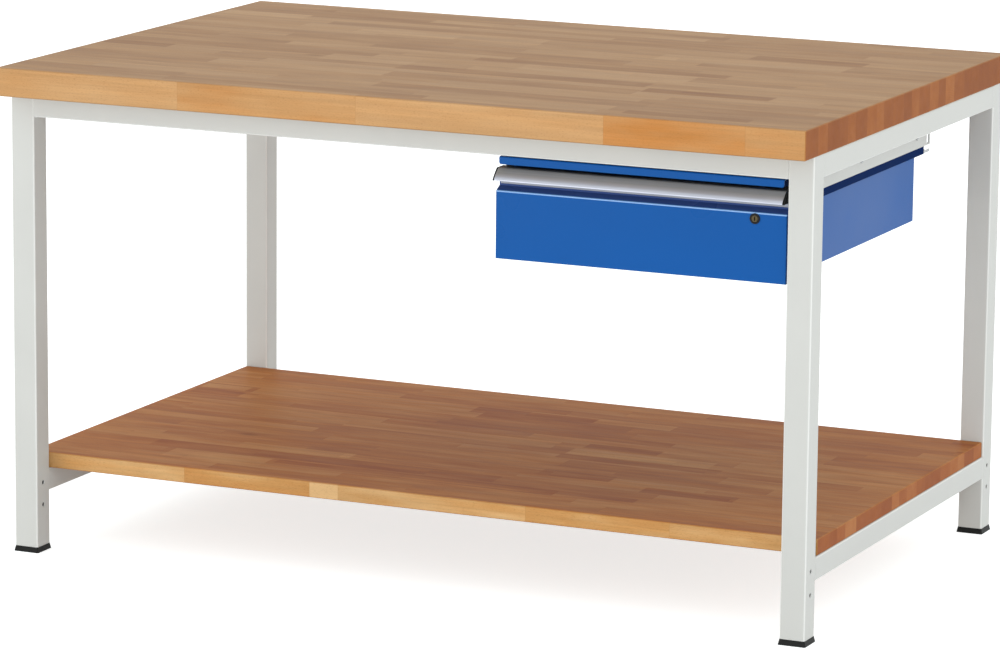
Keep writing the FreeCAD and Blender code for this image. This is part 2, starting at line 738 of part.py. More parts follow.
drawer_half = channel_half - size.slide_thickness
drawer_inner = drawer_half - size.drawer_sheet
drawer_front_y = face_y + size.front_depth
drawer_length = slide_start + size.slide_length - size.drawer_back_gap - drawer_front_y
drawer_underside = slide_z - size.slide_rise
drawer_height = housing_top - size.strip_height - size.drawer_top_gap - drawer_underside
front_half = housing_half + size.front_overlap
front_height = drawer_height - size.front_drop
lock_offset = front_half - size.lock_margin
lock_height = size.face_height - size.lock_drop
lock_x = unit_centre + lock_offset
lock_z = drawer_underside + lock_height
front_screws = [((front_half - size.front_screw_margin) * side, height) for side in (-1, 1)
                for height in (size.front_screw_inset, front_height - size.front_screw_inset)]
pilot_in_sheet = size.bolt_radius + size.thread_gap


def make_drawer_side(label, side):
    """A sheet whose top edge is folded flat against its inner face, screwed to the slide."""
    body = new_body(label)
    hem_bottom = drawer_height - size.drawer_hem
    hem = drawer_inner - size.drawer_sheet
    section = new_sketch(body, "XZ")
    outline = [(drawer_inner, zero), (drawer_half, zero), (drawer_half, drawer_height),
               (hem, drawer_height), (hem, hem_bottom), (drawer_inner, hem_bottom)]
    if side < 0:
        outline = [(-x, z) for x, z in reversed(outline)]
    draw_outline(section, outline)
    pad(body, section, drawer_length)
    soften(body, "Fillet", size.drawer_bend, lambda edge: runs_along(edge, "y")
           and near(edge.CenterOfMass.z, zero) and near(edge.CenterOfMass.x, drawer_half * side))
    drill(body, pilot_in_sheet, size.drawer_sheet * 4, "X",
          [(drawer_half * side - size.drawer_sheet * 2, y - drawer_front_y, size.slide_rise)
           for y in screw_stations])
    place(body, unit_centre, drawer_front_y, drawer_underside)


def make_drawer_bottom():
    body = new_body("drawer_bottom")
    outline = new_sketch(body, "XY")
    draw_rectangle(outline, -drawer_inner, drawer_inner, zero, drawer_length)
    pad(body, outline, size.drawer_sheet)
    place(body, unit_centre, drawer_front_y, drawer_underside)


def make_drawer_wall(label, start, height):
    """A sheet between the sides, standing on the bottom."""
    body = new_body(label)
    outline = new_sketch(body, "XZ")
    draw_rectangle(outline, -drawer_inner, drawer_inner, size.drawer_sheet, height)
    pad(body, outline, size.drawer_sheet)
    place(body, unit_centre, drawer_front_y + start, drawer_underside)
    return body


for side_name, side in sides:
    make_drawer_side(f"{side_name}_drawer_side", side)
make_drawer_bottom()
make_drawer_wall("drawer_back_wall", drawer_length - size.drawer_sheet, drawer_height - size.back_wall_drop)
front_wall = make_drawer_wall("drawer_front_wall", zero, drawer_height - size.front_wall_drop)
drill(front_wall, size.lock_wall_hole, size.drawer_sheet + 2, "Y", [(lock_offset, as_size(-1), lock_height)])
drill(front_wall, bolt_hole_radius, size.drawer_sheet + 2, "Y", [(x, as_size(-1), z) for x, z in front_screws])


def make_drawer_front():
    """A hollow folded panel: flat face, a ledge sloping back, the recess wall and lips at the back."""
    body = new_body("drawer_front")
    gauge = size.drawer_sheet
    half = front_half
    ledge_top = size.face_height + size.recess_rise
    outer = new_sketch(body, "YZ", -half)
    draw_outline(outer, [(zero, zero), (size.front_depth, zero), (size.front_depth, front_height),
                         (size.recess_depth, front_height), (size.recess_depth, ledge_top),
                         (zero, size.face_height)])
    pad(body, outer, half * 2)
    soften(body, "Fillet", size.front_edge, lambda edge: (near(edge.CenterOfMass.y, zero)
           and (runs_along(edge, "z") or runs_along(edge, "x"))))
    slope = size.recess_rise / size.recess_depth
    fall = gauge * root(slope * slope + 1)
    inner_back = size.front_depth - gauge
    inner_recess = size.recess_depth + gauge
    hollow = new_sketch(body, "YZ", gauge - half)
    draw_outline(hollow, [(gauge, gauge), (inner_back, gauge), (inner_back, front_height - gauge),
                          (inner_recess, front_height - gauge),
                          (inner_recess, ledge_top + slope * gauge - fall),
                          (gauge, size.face_height + slope * gauge - fall)])
    cut(body, hollow, (half - gauge) * 2)
    window = new_sketch(body, "XZ", inner_back)
    window_half = half - size.front_lip
    draw_rectangle(window, -window_half, window_half, size.front_lip, front_height - size.front_lip)
    cut(body, window, gauge + 1)
    lock_hole = new_sketch(body, "XZ")
    draw_circle(lock_hole, lock_offset, lock_height, size.lock_barrel_radius + size.hole_gap)
    cut(body, lock_hole, gauge + 1)
    drill(body, pilot_in_sheet, gauge + 2, "Y", [(x, inner_back - 1, z) for x, z in front_screws])
    drill(body, rivet_hole_radius, gauge + 2, "Y",
          [(x, size.recess_depth - 1, grip_top - size.rivet_drop) for x in rivet_stations])
    place(body, unit_centre, face_y, drawer_underside)


rivet_stations = [(front_half - size.rivet_margin) * number for number in (-1, 0, 1)]
rivet_hole_radius = size.rivet_radius + size.thread_gap
grip_top = front_height + size.grip_wall
make_drawer_front()


def grip_face():
    """The grip's outer outline from its back edge, over the rounded front, to its toe."""
    return [(size.front_depth, zero), (size.grip_corner_depth, zero),
            (-size.grip_reach, -size.grip_fall), (-size.grip_reach, -(size.grip_fall + size.grip_toe))]


def make_grip():
    """An extruded strip: flange over the front, sloping finger face, and a leg down the recess wall."""
    body = new_body("grip_strip")
    wall = size.grip_wall
    toe = -(size.grip_fall + size.grip_toe)
    leg_front = size.recess_depth - wall
    section = new_sketch(body, "YZ", size.grip_cap - front_half)
    draw_outline(section, grip_face() + [
        (wall - size.grip_reach, toe), (size.grip_corner_depth + wall / 2, -wall), (leg_front, -wall),
        (leg_front, -size.grip_leg), (size.recess_depth, -size.grip_leg),
        (size.recess_depth, -wall), (size.front_depth, -wall)], {1: size.grip_bulge})
    pad(body, section, (front_half - size.grip_cap) * 2)
    drill(body, rivet_hole_radius, wall + 2, "Y",
          [(x, leg_front - 1, -size.rivet_drop) for x in rivet_stations])
    place(body, unit_centre, face_y, drawer_underside + grip_top)


def make_grip_cap(label, start):
    body = new_body(label)
    toe = -(size.grip_fall + size.grip_toe)
    section = new_sketch(body, "YZ")
    draw_outline(section, grip_face() + [(size.recess_depth, toe), (size.recess_depth, -size.grip_wall),
                                         (size.front_depth, -size.grip_wall)], {1: size.grip_bulge})
    pad(body, section, size.grip_cap)
    place(body, start, face_y, drawer_underside + grip_top)


make_grip()
make_grip_cap("left_grip_cap", unit_centre - front_half)
make_grip_cap("right_grip_cap", unit_centre + front_half - size.grip_cap)

rivet_y = face_y + size.recess_depth - size.grip_wall
rivet_z = drawer_underside + grip_top - size.rivet_drop
group("grip_rivets", [fastener(8, size.rivet_head, size.rivet_head_height, size.rivet_radius,
                               size.grip_wall + size.drawer_sheet + size.bolt_tail, "Y",
                               unit_centre + x, rivet_y, rivet_z) for x in rivet_stations])


# Pan-head screws: through the drawer's front wall into the front, and from each slide into the drawer

group("front_screws", [fastener(8, size.bolt_head_radius, size.bolt_head_height, size.bolt_radius,
                                size.drawer_sheet * 2 + size.bolt_tail, "-Y", unit_centre + x,
                                drawer_front_y + size.drawer_sheet, drawer_underside + z)
                       for x, z in front_screws])
group("slide_screws", [fastener(8, size.bolt_head_radius, size.bolt_head_height, size.bolt_radius,
                                size.slide_wall + size.drawer_sheet + size.bolt_tail,
                                "-X" if side > 0 else "X",
                                unit_centre + (drawer_half + size.slide_wall) * side, y, slide_z)
                       for side in (-1, 1) for y in screw_stations])


# Cam lock: barrel and fork clip in the front's face, plug that turns, cam on its tail, strike above

rim_y = face_y - size.lock_rim_height
barrel_end_y = face_y + size.lock_barrel_length
collar_y = barrel_end_y + size.lock_end_gap
tail_y = collar_y + size.lock_collar
cam_y = drawer_front_y + size.drawer_sheet + size.cam_gap
tail_end_y = cam_y + size.cam_thickness


def lock_rod(radius, start, stop):
    """A rod on the lock's axis from one depth to another."""
    return rod(radius, stop - start, "Y", lock_x, start, lock_z)


barrel = joined([prism(24, size.lock_rim_radius, size.lock_rim_height, "Y", lock_x, rim_y, lock_z),
                 prism(16, size.lock_barrel_radius, size.lock_barrel_length, "Y", lock_x, face_y, lock_z)])
bore = lock_rod(size.lock_plug_radius + size.lock_running_gap, rim_y, barrel_end_y)
clip_y = face_y + size.drawer_sheet
groove_x = size.lock_barrel_radius - size.clip_groove
grooves = [block(x, clip_y, lock_z - size.lock_barrel_radius,
                 size.clip_groove + 1, size.clip_thickness, size.lock_barrel_radius * 2)
           for x in (lock_x + groove_x, lock_x - size.lock_barrel_radius - 1)]
name_node("lock_barrel", without(barrel, joined([bore] + grooves)))

half_tail = size.lock_tail_width / 2
tail = block(lock_x - half_tail, tail_y, lock_z - half_tail,
             size.lock_tail_width, tail_end_y - tail_y, size.lock_tail_width)
plug = joined([lock_rod(size.lock_plug_radius, rim_y, collar_y),
               prism(8, size.lock_collar_radius, size.lock_collar, "Y", lock_x, collar_y, lock_z), tail])
keyway = block(lock_x - size.key_width / 2, rim_y, lock_z - size.key_height / 2,
               size.key_width, size.key_depth, size.key_height)
bored = threaded(without(plug, keyway), size.cam_screw_radius + size.thread_gap, size.cam_screw_length,
                 "Y", lock_x, tail_end_y - size.cam_screw_length, lock_z)
name_node("lock_plug", bored)

name_node("cam_screw", fastener(8, size.cam_screw_head, size.cam_screw_head_height, size.cam_screw_radius,
                                size.cam_screw_length, "-Y", lock_x, tail_end_y, lock_z))


def make_cam():
    body = new_body("lock_cam")
    blade = new_sketch(body, "XZ")
    half_width = size.cam_width / 2
    reach = housing_top - size.housing_sheet - size.cam_top_gap - lock_z
    draw_chamfered(blade, -reach, half_width, -half_width, half_width, size.cam_corner)
    square = half_tail + size.lock_running_gap
    draw_rectangle(blade, -square, square, -square, square)
    pad(body, blade, size.cam_thickness)
    place(body, lock_x, cam_y, lock_z)


def make_clip():
    """A fork pushed up over the barrel's two side grooves, flat against the inside of the face."""
    body = new_body("lock_clip")
    fork = new_sketch(body, "XZ")
    half_width = size.clip_width / 2
    arm = groove_x + size.thread_gap
    crotch = -(size.lock_barrel_radius + size.thread_gap)
    draw_outline(fork, [(-half_width, -size.clip_foot), (half_width, -size.clip_foot),
                        (half_width, size.clip_rise), (arm, size.clip_rise), (arm, crotch),
                        (-arm, crotch), (-arm, size.clip_rise), (-half_width, size.clip_rise)])
    pad(body, fork, size.clip_thickness)
    place(body, lock_x, clip_y, lock_z)


def make_strike():
    body = new_body("lock_strike")
    section = new_sketch(body, "YZ", -size.strike_width / 2)
    gauge = size.housing_sheet
    draw_outline(section, [(zero, zero), (-size.strike_leg, zero), (-size.strike_leg, -gauge),
                           (-gauge, -gauge), (-gauge, -size.strike_drop), (zero, -size.strike_drop)])
    pad(body, section, size.strike_width)
    place(body, lock_x, cam_y - size.strike_gap, housing_top - gauge)


make_cam()
make_clip()
make_strike()


# Checks on every object, then one file for each piece

doc.recompute()
faults = [thing.Label for thing in doc.Objects if {"Invalid", "Error"} & set(thing.State)]
if faults:
    raise RuntimeError("failed to build: " + ", ".join(faults))
for node in nodes:
    if node.Shape.isNull() or not node.Shape.isValid() or not node.Shape.Solids:
        raise RuntimeError(f"{node.Label}: no valid solid")

os.makedirs("parts", exist_ok=True)
for node in nodes:
    node.Shape.exportStep(os.path.join("parts", node.Label + ".step"))
print(f"{len(nodes)} pieces, {sum(len(node.Shape.Solids) for node in nodes)} solids")
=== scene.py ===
import json
import math
import bmesh
import bpy
import numpy as np
from mathutils import Matrix, Vector


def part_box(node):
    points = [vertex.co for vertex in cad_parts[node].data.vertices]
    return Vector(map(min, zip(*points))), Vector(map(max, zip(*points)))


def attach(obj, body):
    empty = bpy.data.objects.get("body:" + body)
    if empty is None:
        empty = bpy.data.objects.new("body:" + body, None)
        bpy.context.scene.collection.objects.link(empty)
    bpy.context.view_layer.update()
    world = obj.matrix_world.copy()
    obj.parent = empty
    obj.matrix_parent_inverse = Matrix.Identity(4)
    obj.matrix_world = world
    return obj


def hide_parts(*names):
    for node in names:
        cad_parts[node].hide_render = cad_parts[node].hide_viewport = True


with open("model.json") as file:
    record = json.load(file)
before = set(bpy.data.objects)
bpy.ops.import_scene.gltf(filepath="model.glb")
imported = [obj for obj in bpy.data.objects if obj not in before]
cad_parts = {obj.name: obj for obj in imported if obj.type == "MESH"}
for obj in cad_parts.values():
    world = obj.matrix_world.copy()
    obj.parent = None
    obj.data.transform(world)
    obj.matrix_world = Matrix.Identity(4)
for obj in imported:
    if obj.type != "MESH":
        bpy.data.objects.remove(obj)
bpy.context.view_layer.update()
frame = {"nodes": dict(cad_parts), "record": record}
print("frame loaded:", len(frame["nodes"]), "nodes")


# view, from a camera fitted to the photograph's edges
view = {
    "place": (3.5853, -7.9298, 2.1244),
    "yaw": -0.42611,    # radians from +Y, to the left
    "pitch": 0.19655,   # radians downwards
    "roll": -0.00939,
    "lens": 179.75,
    "sensor": 36.0,
    "farthest": 60.0,
}


def addCamera():
    yaw, pitch, roll = view["yaw"], view["pitch"], view["roll"]
    ahead = Vector((math.sin(yaw) * math.cos(pitch), math.cos(yaw) * math.cos(pitch), -math.sin(pitch)))
    level = Vector((math.cos(yaw), -math.sin(yaw), 0))
    below = ahead.cross(level)
    right = math.cos(roll) * level + math.sin(roll) * below
    up = math.sin(roll) * level - math.cos(roll) * below
    lensData = bpy.data.cameras.new("viewCamera")
    lensData.lens = view["lens"]
    lensData.sensor_width = view["sensor"]
    lensData.sensor_fit = "HORIZONTAL"
    lensData.clip_end = view["farthest"]
    camera = bpy.data.objects.new("viewCamera", lensData)
    bpy.context.scene.collection.objects.link(camera)
    turn = Matrix((right, up, -ahead)).transposed().to_4x4()
    camera.matrix_world = Matrix.Translation(view["place"]) @ turn
    bpy.context.scene.camera = camera


addCamera()


# small helpers for node trees: a value that is a socket is linked, any other is typed in

class Graph:
    nodesPerRow, nodeWidth, nodeHeight, margin, right = 12, 220, 260, 300, 2900     # places in the node editor

    def __init__(self, tree):
        self.tree = tree
        self.count = 0

    def add(self, kind, inputs=None, **settings):
        node = self.tree.nodes.new("ShaderNode" + kind)
        row, column = divmod(self.count, self.nodesPerRow)
        node.location = (self.nodeWidth * column, -self.nodeHeight * row)
        self.count += 1
        for name, value in settings.items():
            setattr(node, name, value)
        for name, value in (inputs or {}).items():
            self.feed(node.inputs[name], value)
        return node

    def feed(self, socket, value):
        if isinstance(value, bpy.types.NodeSocket):
            self.tree.links.new(value, socket)
        else:
            socket.default_value = value

    def math(self, operation, first, second=None, third=None, clamp=False):
        node = self.add("Math", operation=operation, use_clamp=clamp)
        for socket, value in zip(node.inputs, (first, second, third)):
            if value is not None:
                self.feed(socket, value)
        return node.outputs[0]

    def mix(self, factor, first, second, blend="MIX"):
        node = self.add("Mix", data_type="RGBA", blend_type=blend)
        self.feed(node.inputs["Factor"], factor)
        self.feed(node.inputs["A"], first)
        self.feed(node.inputs["B"], second)
        return node.outputs["Result"]

    def swap(self, factor, first, second):
        node = self.add("Mix", {"Factor": factor, "A": first, "B": second}, data_type="FLOAT")
        return node.outputs["Result"]

    def ramp(self, factor, stops):
        node = self.add("ValToRGB", {"Fac": factor})
        elements = node.color_ramp.elements
        while len(elements) < len(stops):
            elements.new(0.5)
        for element, (position, colour) in zip(elements, stops):
            element.position = position
            element.color = (*colour, 1)
        return node.outputs["Color"]

    def span(self, value, low, high, toLow=0.0, toHigh=1.0):
        node = self.add("MapRange", {"Value": value, "From Min": low, "From Max": high,
                                     "To Min": toLow, "To Max": toHigh})
        return node.outputs["Result"]

    def noise(self, vector, scale=1.0, detail=3.0, roughness=0.5):
        return self.add("TexNoise", {"Vector": vector, "Scale": scale, "Detail": detail,
                                     "Roughness": roughness}).outputs["Fac"]

    def stretch(self, vector, scale):
        return self.vector("MULTIPLY", vector, scale)

    def vector(self, operation, first, second):
        return self.add("VectorMath", {0: first, 1: second}, operation=operation).outputs["Vector"]

    def absolute(self, vector):
        return self.add("VectorMath", {0: vector}, operation="ABSOLUTE").outputs["Vector"]

    def parts(self, vector):
        return self.add("SeparateXYZ", {"Vector": vector}).outputs

    def distance(self, value, place):
        return self.math("ABSOLUTE", self.math("SUBTRACT", value, place))


def newGroup(name, inputs, outputs):
    tree = bpy.data.node_groups.new(name, "ShaderNodeTree")
    for label, kind, value in inputs:
        socket = tree.interface.new_socket(label, in_out="INPUT", socket_type="NodeSocket" + kind)
        if value is not None:
            socket.default_value = value
    for label, kind in outputs:
        tree.interface.new_socket(label, in_out="OUTPUT", socket_type="NodeSocket" + kind)
    graph = Graph(tree)
    start = tree.nodes.new("NodeGroupInput")
    start.location = (-graph.margin, 0)
    end = tree.nodes.new("NodeGroupOutput")
    end.location = (graph.right, 0)
    return graph, start.outputs, end.inputs


# staves: rows across Y and joints along X, each stave with its own random values; lengths are in metres
staveLayout = {
    "rowBend": (41.0, 0.006),           # how fast the rows' widths vary along Y, and by how much
    "seedStep": 17.3,
    "rowShift": 5.0,                    # a row's joints are moved along X by up to this
    "jointBend": (8.0, 0.05),
    "seam": (0.0002, 0.0007),           # a glue line is full up to the first distance and gone at the second
    "figureShift": (9.0, 7.0, 5.0),     # keeps the grain of one stave apart from the next one's
}


def staveGroup():
    look = staveLayout
    graph, given, wanted = newGroup(
        "staves",
        [("Vector", "Vector", None), ("Width", "Float", 0.044), ("Length", "Float", 0.42),
         ("Seed", "Float", 0.0), ("Front", "Float", 0.0), ("Front Column", "Float", 0.0),
         ("Front Joint", "Float", 1.0)],
        [("Random", "Color"), ("Seam", "Float"), ("Grain Vector", "Vector")])
    place = graph.parts(given["Vector"])
    # the rows' widths vary because a sine bends the count: y + depth * sin(speed * y)
    speed, depth = look["rowBend"]
    swing = graph.math("SINE", graph.math("MULTIPLY", place["Y"], speed))
    bent = graph.math("MULTIPLY_ADD", swing, depth, place["Y"])
    rowPlace = graph.math("DIVIDE", bent, given["Width"])
    row = graph.math("FLOOR", rowPlace)
    rowKey = graph.math("MULTIPLY_ADD", given["Seed"], look["seedStep"], row)
    rowNoise = graph.add("TexWhiteNoise", {"W": rowKey}, noise_dimensions="1D").outputs["Value"]
    shifted = graph.math("MULTIPLY_ADD", rowNoise, look["rowShift"], place["X"])
    # the joints are uneven in the same way: x + depth * sin(speed * x + row)
    speed, depth = look["jointBend"]
    wave = graph.math("SINE", graph.math("MULTIPLY_ADD", shifted, speed, row))
    columnPlace = graph.math("DIVIDE", graph.math("MULTIPLY_ADD", wave, depth, shifted), given["Length"])
    # the front row takes its joints from the material that uses the group
    column = graph.swap(given["Front"], graph.math("FLOOR", columnPlace), given["Front Column"])
    row = graph.swap(given["Front"], row, 0.5)
    key = graph.add("CombineXYZ", {"X": row, "Y": column, "Z": given["Seed"]}).outputs["Vector"]
    random = graph.add("TexWhiteNoise", {"Vector": key}, noise_dimensions="3D").outputs["Color"]
    # distance to the nearest glue line
    rowEdge = graph.math("MULTIPLY", graph.math("PINGPONG", rowPlace, 0.5), given["Width"])
    columnEdge = graph.math("MULTIPLY", graph.math("PINGPONG", columnPlace, 0.5), given["Length"])
    nearest = graph.swap(given["Front"], graph.math("MINIMUM", rowEdge, columnEdge), given["Front Joint"])
    graph.feed(wanted["Random"], random)
    graph.feed(wanted["Seam"], graph.span(nearest, *look["seam"], 1.0, 0.0))
    offset = graph.stretch(random, look["figureShift"])
    graph.feed(wanted["Grain Vector"], graph.vector("ADD", given["Vector"], offset))
    return graph.tree


# grain: fine and broad streaks along X, soft clouds, short flecks, and rings on the end grain; scales are
# in noise cells per metre along X, Y and Z
grainLook = {
    "wander": (2.2, 14.0, 14.0), "bend": (0.012, 0.009),    # metres along Y and Z that the streaks sway
    "fine": (5.0, 330.0, 330.0), "broad": (3.4, 85.0, 85.0), "broadShare": 0.6,
    "clouds": (7.0, 36.0, 36.0),
    "flecks": (210.0, 1300.0, 1300.0), "fleckRange": (0.58, 0.70),
    "hearts": (1.0, 0.16, 0.16), "rings": 260.0, "ringSway": 1.2,
}


def grainGroup():
    look = grainLook
    graph, given, wanted = newGroup(
        "grain", [("Vector", "Vector", None)],
        [("Streaks", "Float"), ("Clouds", "Float"), ("Flecks", "Float"), ("Rings", "Float")])
    wander = graph.noise(graph.stretch(given["Vector"], look["wander"]), detail=2.0)
    bendY, bendZ = (graph.math("MULTIPLY", wander, depth) for depth in look["bend"])
    bend = graph.add("CombineXYZ", {"Y": bendY, "Z": bendZ}).outputs["Vector"]
    bent = graph.vector("ADD", given["Vector"], bend)
    fine = graph.noise(graph.stretch(bent, look["fine"]), detail=4.0, roughness=0.6)
    broad = graph.noise(graph.stretch(bent, look["broad"]), roughness=0.55)
    clouds = graph.noise(graph.stretch(given["Vector"], look["clouds"]))
    flecks = graph.noise(graph.stretch(given["Vector"], look["flecks"]), detail=1.0, roughness=0.4)
    # end grain: arcs round a heart that lies off to one side of each stave
    flat = graph.stretch(given["Vector"], (0.0, 1.0, 1.0))
    cell = graph.vector("MODULO", flat, look["hearts"])
    away = graph.add("VectorMath", {0: cell}, operation="LENGTH").outputs["Value"]
    count = graph.math("MULTIPLY", away, look["rings"])
    count = graph.math("MULTIPLY_ADD", wander, look["ringSway"], count)
    rings = graph.math("PINGPONG", count, 0.5)
    fineShare = graph.math("MULTIPLY", fine, 1.0 - look["broadShare"])
    graph.feed(wanted["Streaks"], graph.math("MULTIPLY_ADD", broad, look["broadShare"], fineShare))
    graph.feed(wanted["Clouds"], clouds)
    graph.feed(wanted["Flecks"], graph.span(flecks, *look["fleckRange"]))
    graph.feed(wanted["Rings"], graph.math("MULTIPLY", rings, 2.0))
    return graph.tree


# patch: 1 inside an oblong seen from above, with soft edges, in metres
patchEdge = (-0.003, 0.001)


def patchGroup():
    graph, given, wanted = newGroup(
        "patch", [("Vector", "Vector", None), ("Centre", "Vector", (0, 0, 0)), ("Half", "Vector", (1, 1, 1))],
        [("Inside", "Float")])
    offset = graph.absolute(graph.vector("SUBTRACT", given["Vector"], given["Centre"]))
    beyond = graph.parts(graph.vector("SUBTRACT", offset, given["Half"]))
    farthest = graph.math("MAXIMUM", beyond["X"], beyond["Y"])
    graph.feed(wanted["Inside"], graph.span(farthest, *patchEdge, 1.0, 0.0))
    return graph.tree


# edges: 1 where a corner is near, from how far a rounded normal leans off the true one, and on the slanting
# facets of a tube's rounded corner, from how far the largest part of the true normal falls short of 1
def edgeGroup():
    graph, given, wanted = newGroup(
        "edges", [("Radius", "Float", 0.0015), ("Gain", "Float", 4.0), ("Slant", "Float", 0.0)],
        [("Edge", "Float"), ("Normal", "Vector")])
    rounded = graph.add("Bevel", {"Radius": given["Radius"]}, samples=4).outputs["Normal"]
    true = graph.add("NewGeometry").outputs["True Normal"]
    along = graph.add("VectorMath", {0: rounded, 1: true}, operation="DOT_PRODUCT").outputs["Value"]
    lean = graph.math("MULTIPLY", graph.math("SUBTRACT", 1.0, along), given["Gain"], clamp=True)
    sides = graph.parts(graph.absolute(true))
    largest = graph.math("MAXIMUM", graph.math("MAXIMUM", sides["X"], sides["Y"]), sides["Z"])
    slant = graph.math("MULTIPLY", graph.math("SUBTRACT", 1.0, largest), given["Slant"], clamp=True)
    graph.feed(wanted["Edge"], graph.math("MAXIMUM", lean, slant))
    graph.feed(wanted["Normal"], rounded)
    return graph.tree


# coat: the faint unevenness of a sprayed or moulded surface
def coatGroup():
    graph, given, wanted = newGroup(
        "coat", [("Vector", "Vector", None), ("Clouds", "Float", 5.0), ("Grain", "Float", 700.0)],
        [("Cloud", "Float"), ("Peel", "Float")])
    graph.feed(wanted["Cloud"], graph.noise(given["Vector"], given["Clouds"], roughness=0.55))
    graph.feed(wanted["Peel"], graph.noise(given["Vector"], given["Grain"], detail=2.0))
    return graph.tree


# drawn: fine lines along X, as a die or a brush leaves them
def drawnGroup():
    graph, given, wanted = newGroup(
        "drawn", [("Vector", "Vector", None), ("Fineness", "Vector", (3.0, 900.0, 900.0)),
                  ("Clouds", "Float", 9.0)],
        [("Lines", "Float"), ("Cloud", "Float")])
    scaled = graph.stretch(given["Vector"], given["Fineness"])
    graph.feed(wanted["Lines"], graph.noise(scaled, roughness=0.6))
    graph.feed(wanted["Cloud"], graph.noise(given["Vector"], given["Clouds"]))
    return graph.tree


groups = {"staves": staveGroup(), "grain": grainGroup(), "patch": patchGroup(), "edges": edgeGroup(),
          "coat": coatGroup(), "drawn": drawnGroup()}


def newMaterial(name, shader):
    material = bpy.data.materials.new(name)
    material.use_nodes = True
    material.node_tree.nodes.clear()
    graph = Graph(material.node_tree)
    surface = graph.add("BsdfPrincipled")
    output = graph.add("OutputMaterial", {"Surface": surface.outputs["BSDF"]})
    output.location = (graph.right, 0)
    surface.location = (graph.right - graph.margin, 0)
    for label, value in shader.items():
        surface.inputs[label].default_value = value
    place = graph.add("TexCoord").outputs["Object"]
    return material, graph, surface.inputs, place


def useGroup(graph, name, inputs):
    node = graph.add("Group")
    node.node_tree = groups[name]
    for label, value in inputs.items():
        graph.feed(node.inputs[label], value)
    return node.outputs


def bump(graph, sockets, height, distance, strength, normal=None):
    node = graph.add("Bump", {"Height": height, "Distance": distance, "Strength": strength})
    if normal:
        graph.feed(node.inputs["Normal"], normal)
    graph.feed(sockets["Normal"], node.outputs["Normal"])


# the roughness swings about its own value as a noise goes from one level of its reach to the other
def roughen(graph, sockets, noise, roughness, swing, reach):
    least, most = (roughness + change for change in swing)
    graph.feed(sockets["Roughness"], graph.span(noise, *reach, least, most))


# beech, glued up from staves: colours run from dark to light; joints are those of the front row, in
# metres; patches are single staves that stand out: x and y of two corners, and a place on the ramp
# painted light: the top's ramp is darker and greyer than the side's, as though the top caught less light and a
# pale sheen
beech = {
    "width": 0.0440, "length": 0.40, "seed": 3.0, "frontRow": -0.478,
    "top": [(0.0, (0.283, 0.131, 0.052)), (0.5, (0.416, 0.234, 0.109)), (1.0, (0.515, 0.313, 0.162))],
    "side": [(0.0, (0.558, 0.226, 0.058)), (0.5, (0.577, 0.306, 0.124)), (1.0, (0.623, 0.372, 0.180))],
    "end": [(0.0, (0.225, 0.058, 0.010)), (0.5, (0.345, 0.103, 0.018)), (1.0, (0.520, 0.200, 0.054))],
    "joints": [(-0.395, 0.47), (-0.057, 0.70), (0.395, 0.20), (0.645, 0.42)], "firstTone": 0.67,
    "patches": [
        (-0.405, 0.190, -0.200, 0.240, 0.95), (-0.740, 0.315, -0.565, 0.360, 1.0),
        (-0.335, 0.375, 0.215, 0.415, 0.80), (0.365, 0.210, 0.580, 0.260, 0.12),
        (0.215, 0.130, 0.570, 0.200, 0.82), (-0.060, -0.030, 0.420, 0.010, 0.16),
        (0.050, -0.120, 0.375, -0.032, 0.84), (-0.140, -0.185, 0.335, -0.135, 0.15),
        (0.345, -0.235, 0.580, -0.190, 0.0), (-0.085, -0.390, 0.420, -0.340, 0.22),
        (-0.745, -0.140, -0.610, -0.095, 0.12), (0.410, -0.465, 0.635, -0.430, 0.05),
        (-0.310, -0.140, -0.135, -0.070, 0.78),
    ],
    "knot": (-0.330, -0.105),
    "spread": 0.19, "endTones": (0.22, 0.68), "patchStrength": 0.75, "streak": 0.16, "cloud": 0.11,
    "roughness": 0.46,
}
# painted light: the shelf's own copy of the beech, more orange and saturated, stands for the warm light bounced
# between the shelf and the top; its top ramp is darker than its side ramp, painted light as well
bounceLitShelfBeech = {
    "width": 0.0430, "length": 0.38, "seed": 8.0, "frontRow": -0.380,
    "top": [(0.0, (0.330, 0.083, 0.015)), (0.5, (0.460, 0.163, 0.036)), (1.0, (0.570, 0.265, 0.085))],
    "side": [(0.0, (0.535, 0.226, 0.062)), (0.5, (0.600, 0.308, 0.106)), (1.0, (0.710, 0.445, 0.210))],
    "end": [(0.0, (0.260, 0.062, 0.012)), (0.5, (0.390, 0.118, 0.027)), (1.0, (0.520, 0.215, 0.070))],
    "joints": [(-0.440, 0.44), (-0.195, 1.0), (-0.140, 0.72), (0.215, 0.50), (0.480, 0.62)],
    "firstTone": 0.70,
    "patches": [
        (0.120, 0.062, 0.265, 0.102, 0.0), (0.110, 0.008, 0.385, 0.056, 0.98),
        (0.105, -0.028, 0.415, 0.007, 0.14), (-0.190, 0.247, 0.055, 0.297, 0.10),
        (-0.585, -0.258, 0.090, -0.208, 0.12), (0.345, -0.213, 0.520, -0.173, 0.04),
        (-0.735, 0.172, -0.630, 0.212, 0.08), (-0.735, 0.222, -0.640, 0.258, 0.95),
        (-0.440, -0.200, -0.215, -0.163, 0.92), (-0.320, -0.290, 0.370, -0.262, 0.10),
        (-0.525, -0.325, -0.330, -0.262, 0.85), (0.130, -0.165, 0.270, -0.120, 0.15),
    ],
    "knot": (-0.462, -0.106),
    "spread": 0.22, "endTones": (0.12, 0.80), "patchStrength": 0.75, "streak": 0.17, "cloud": 0.16,
    "roughness": 0.48,
}
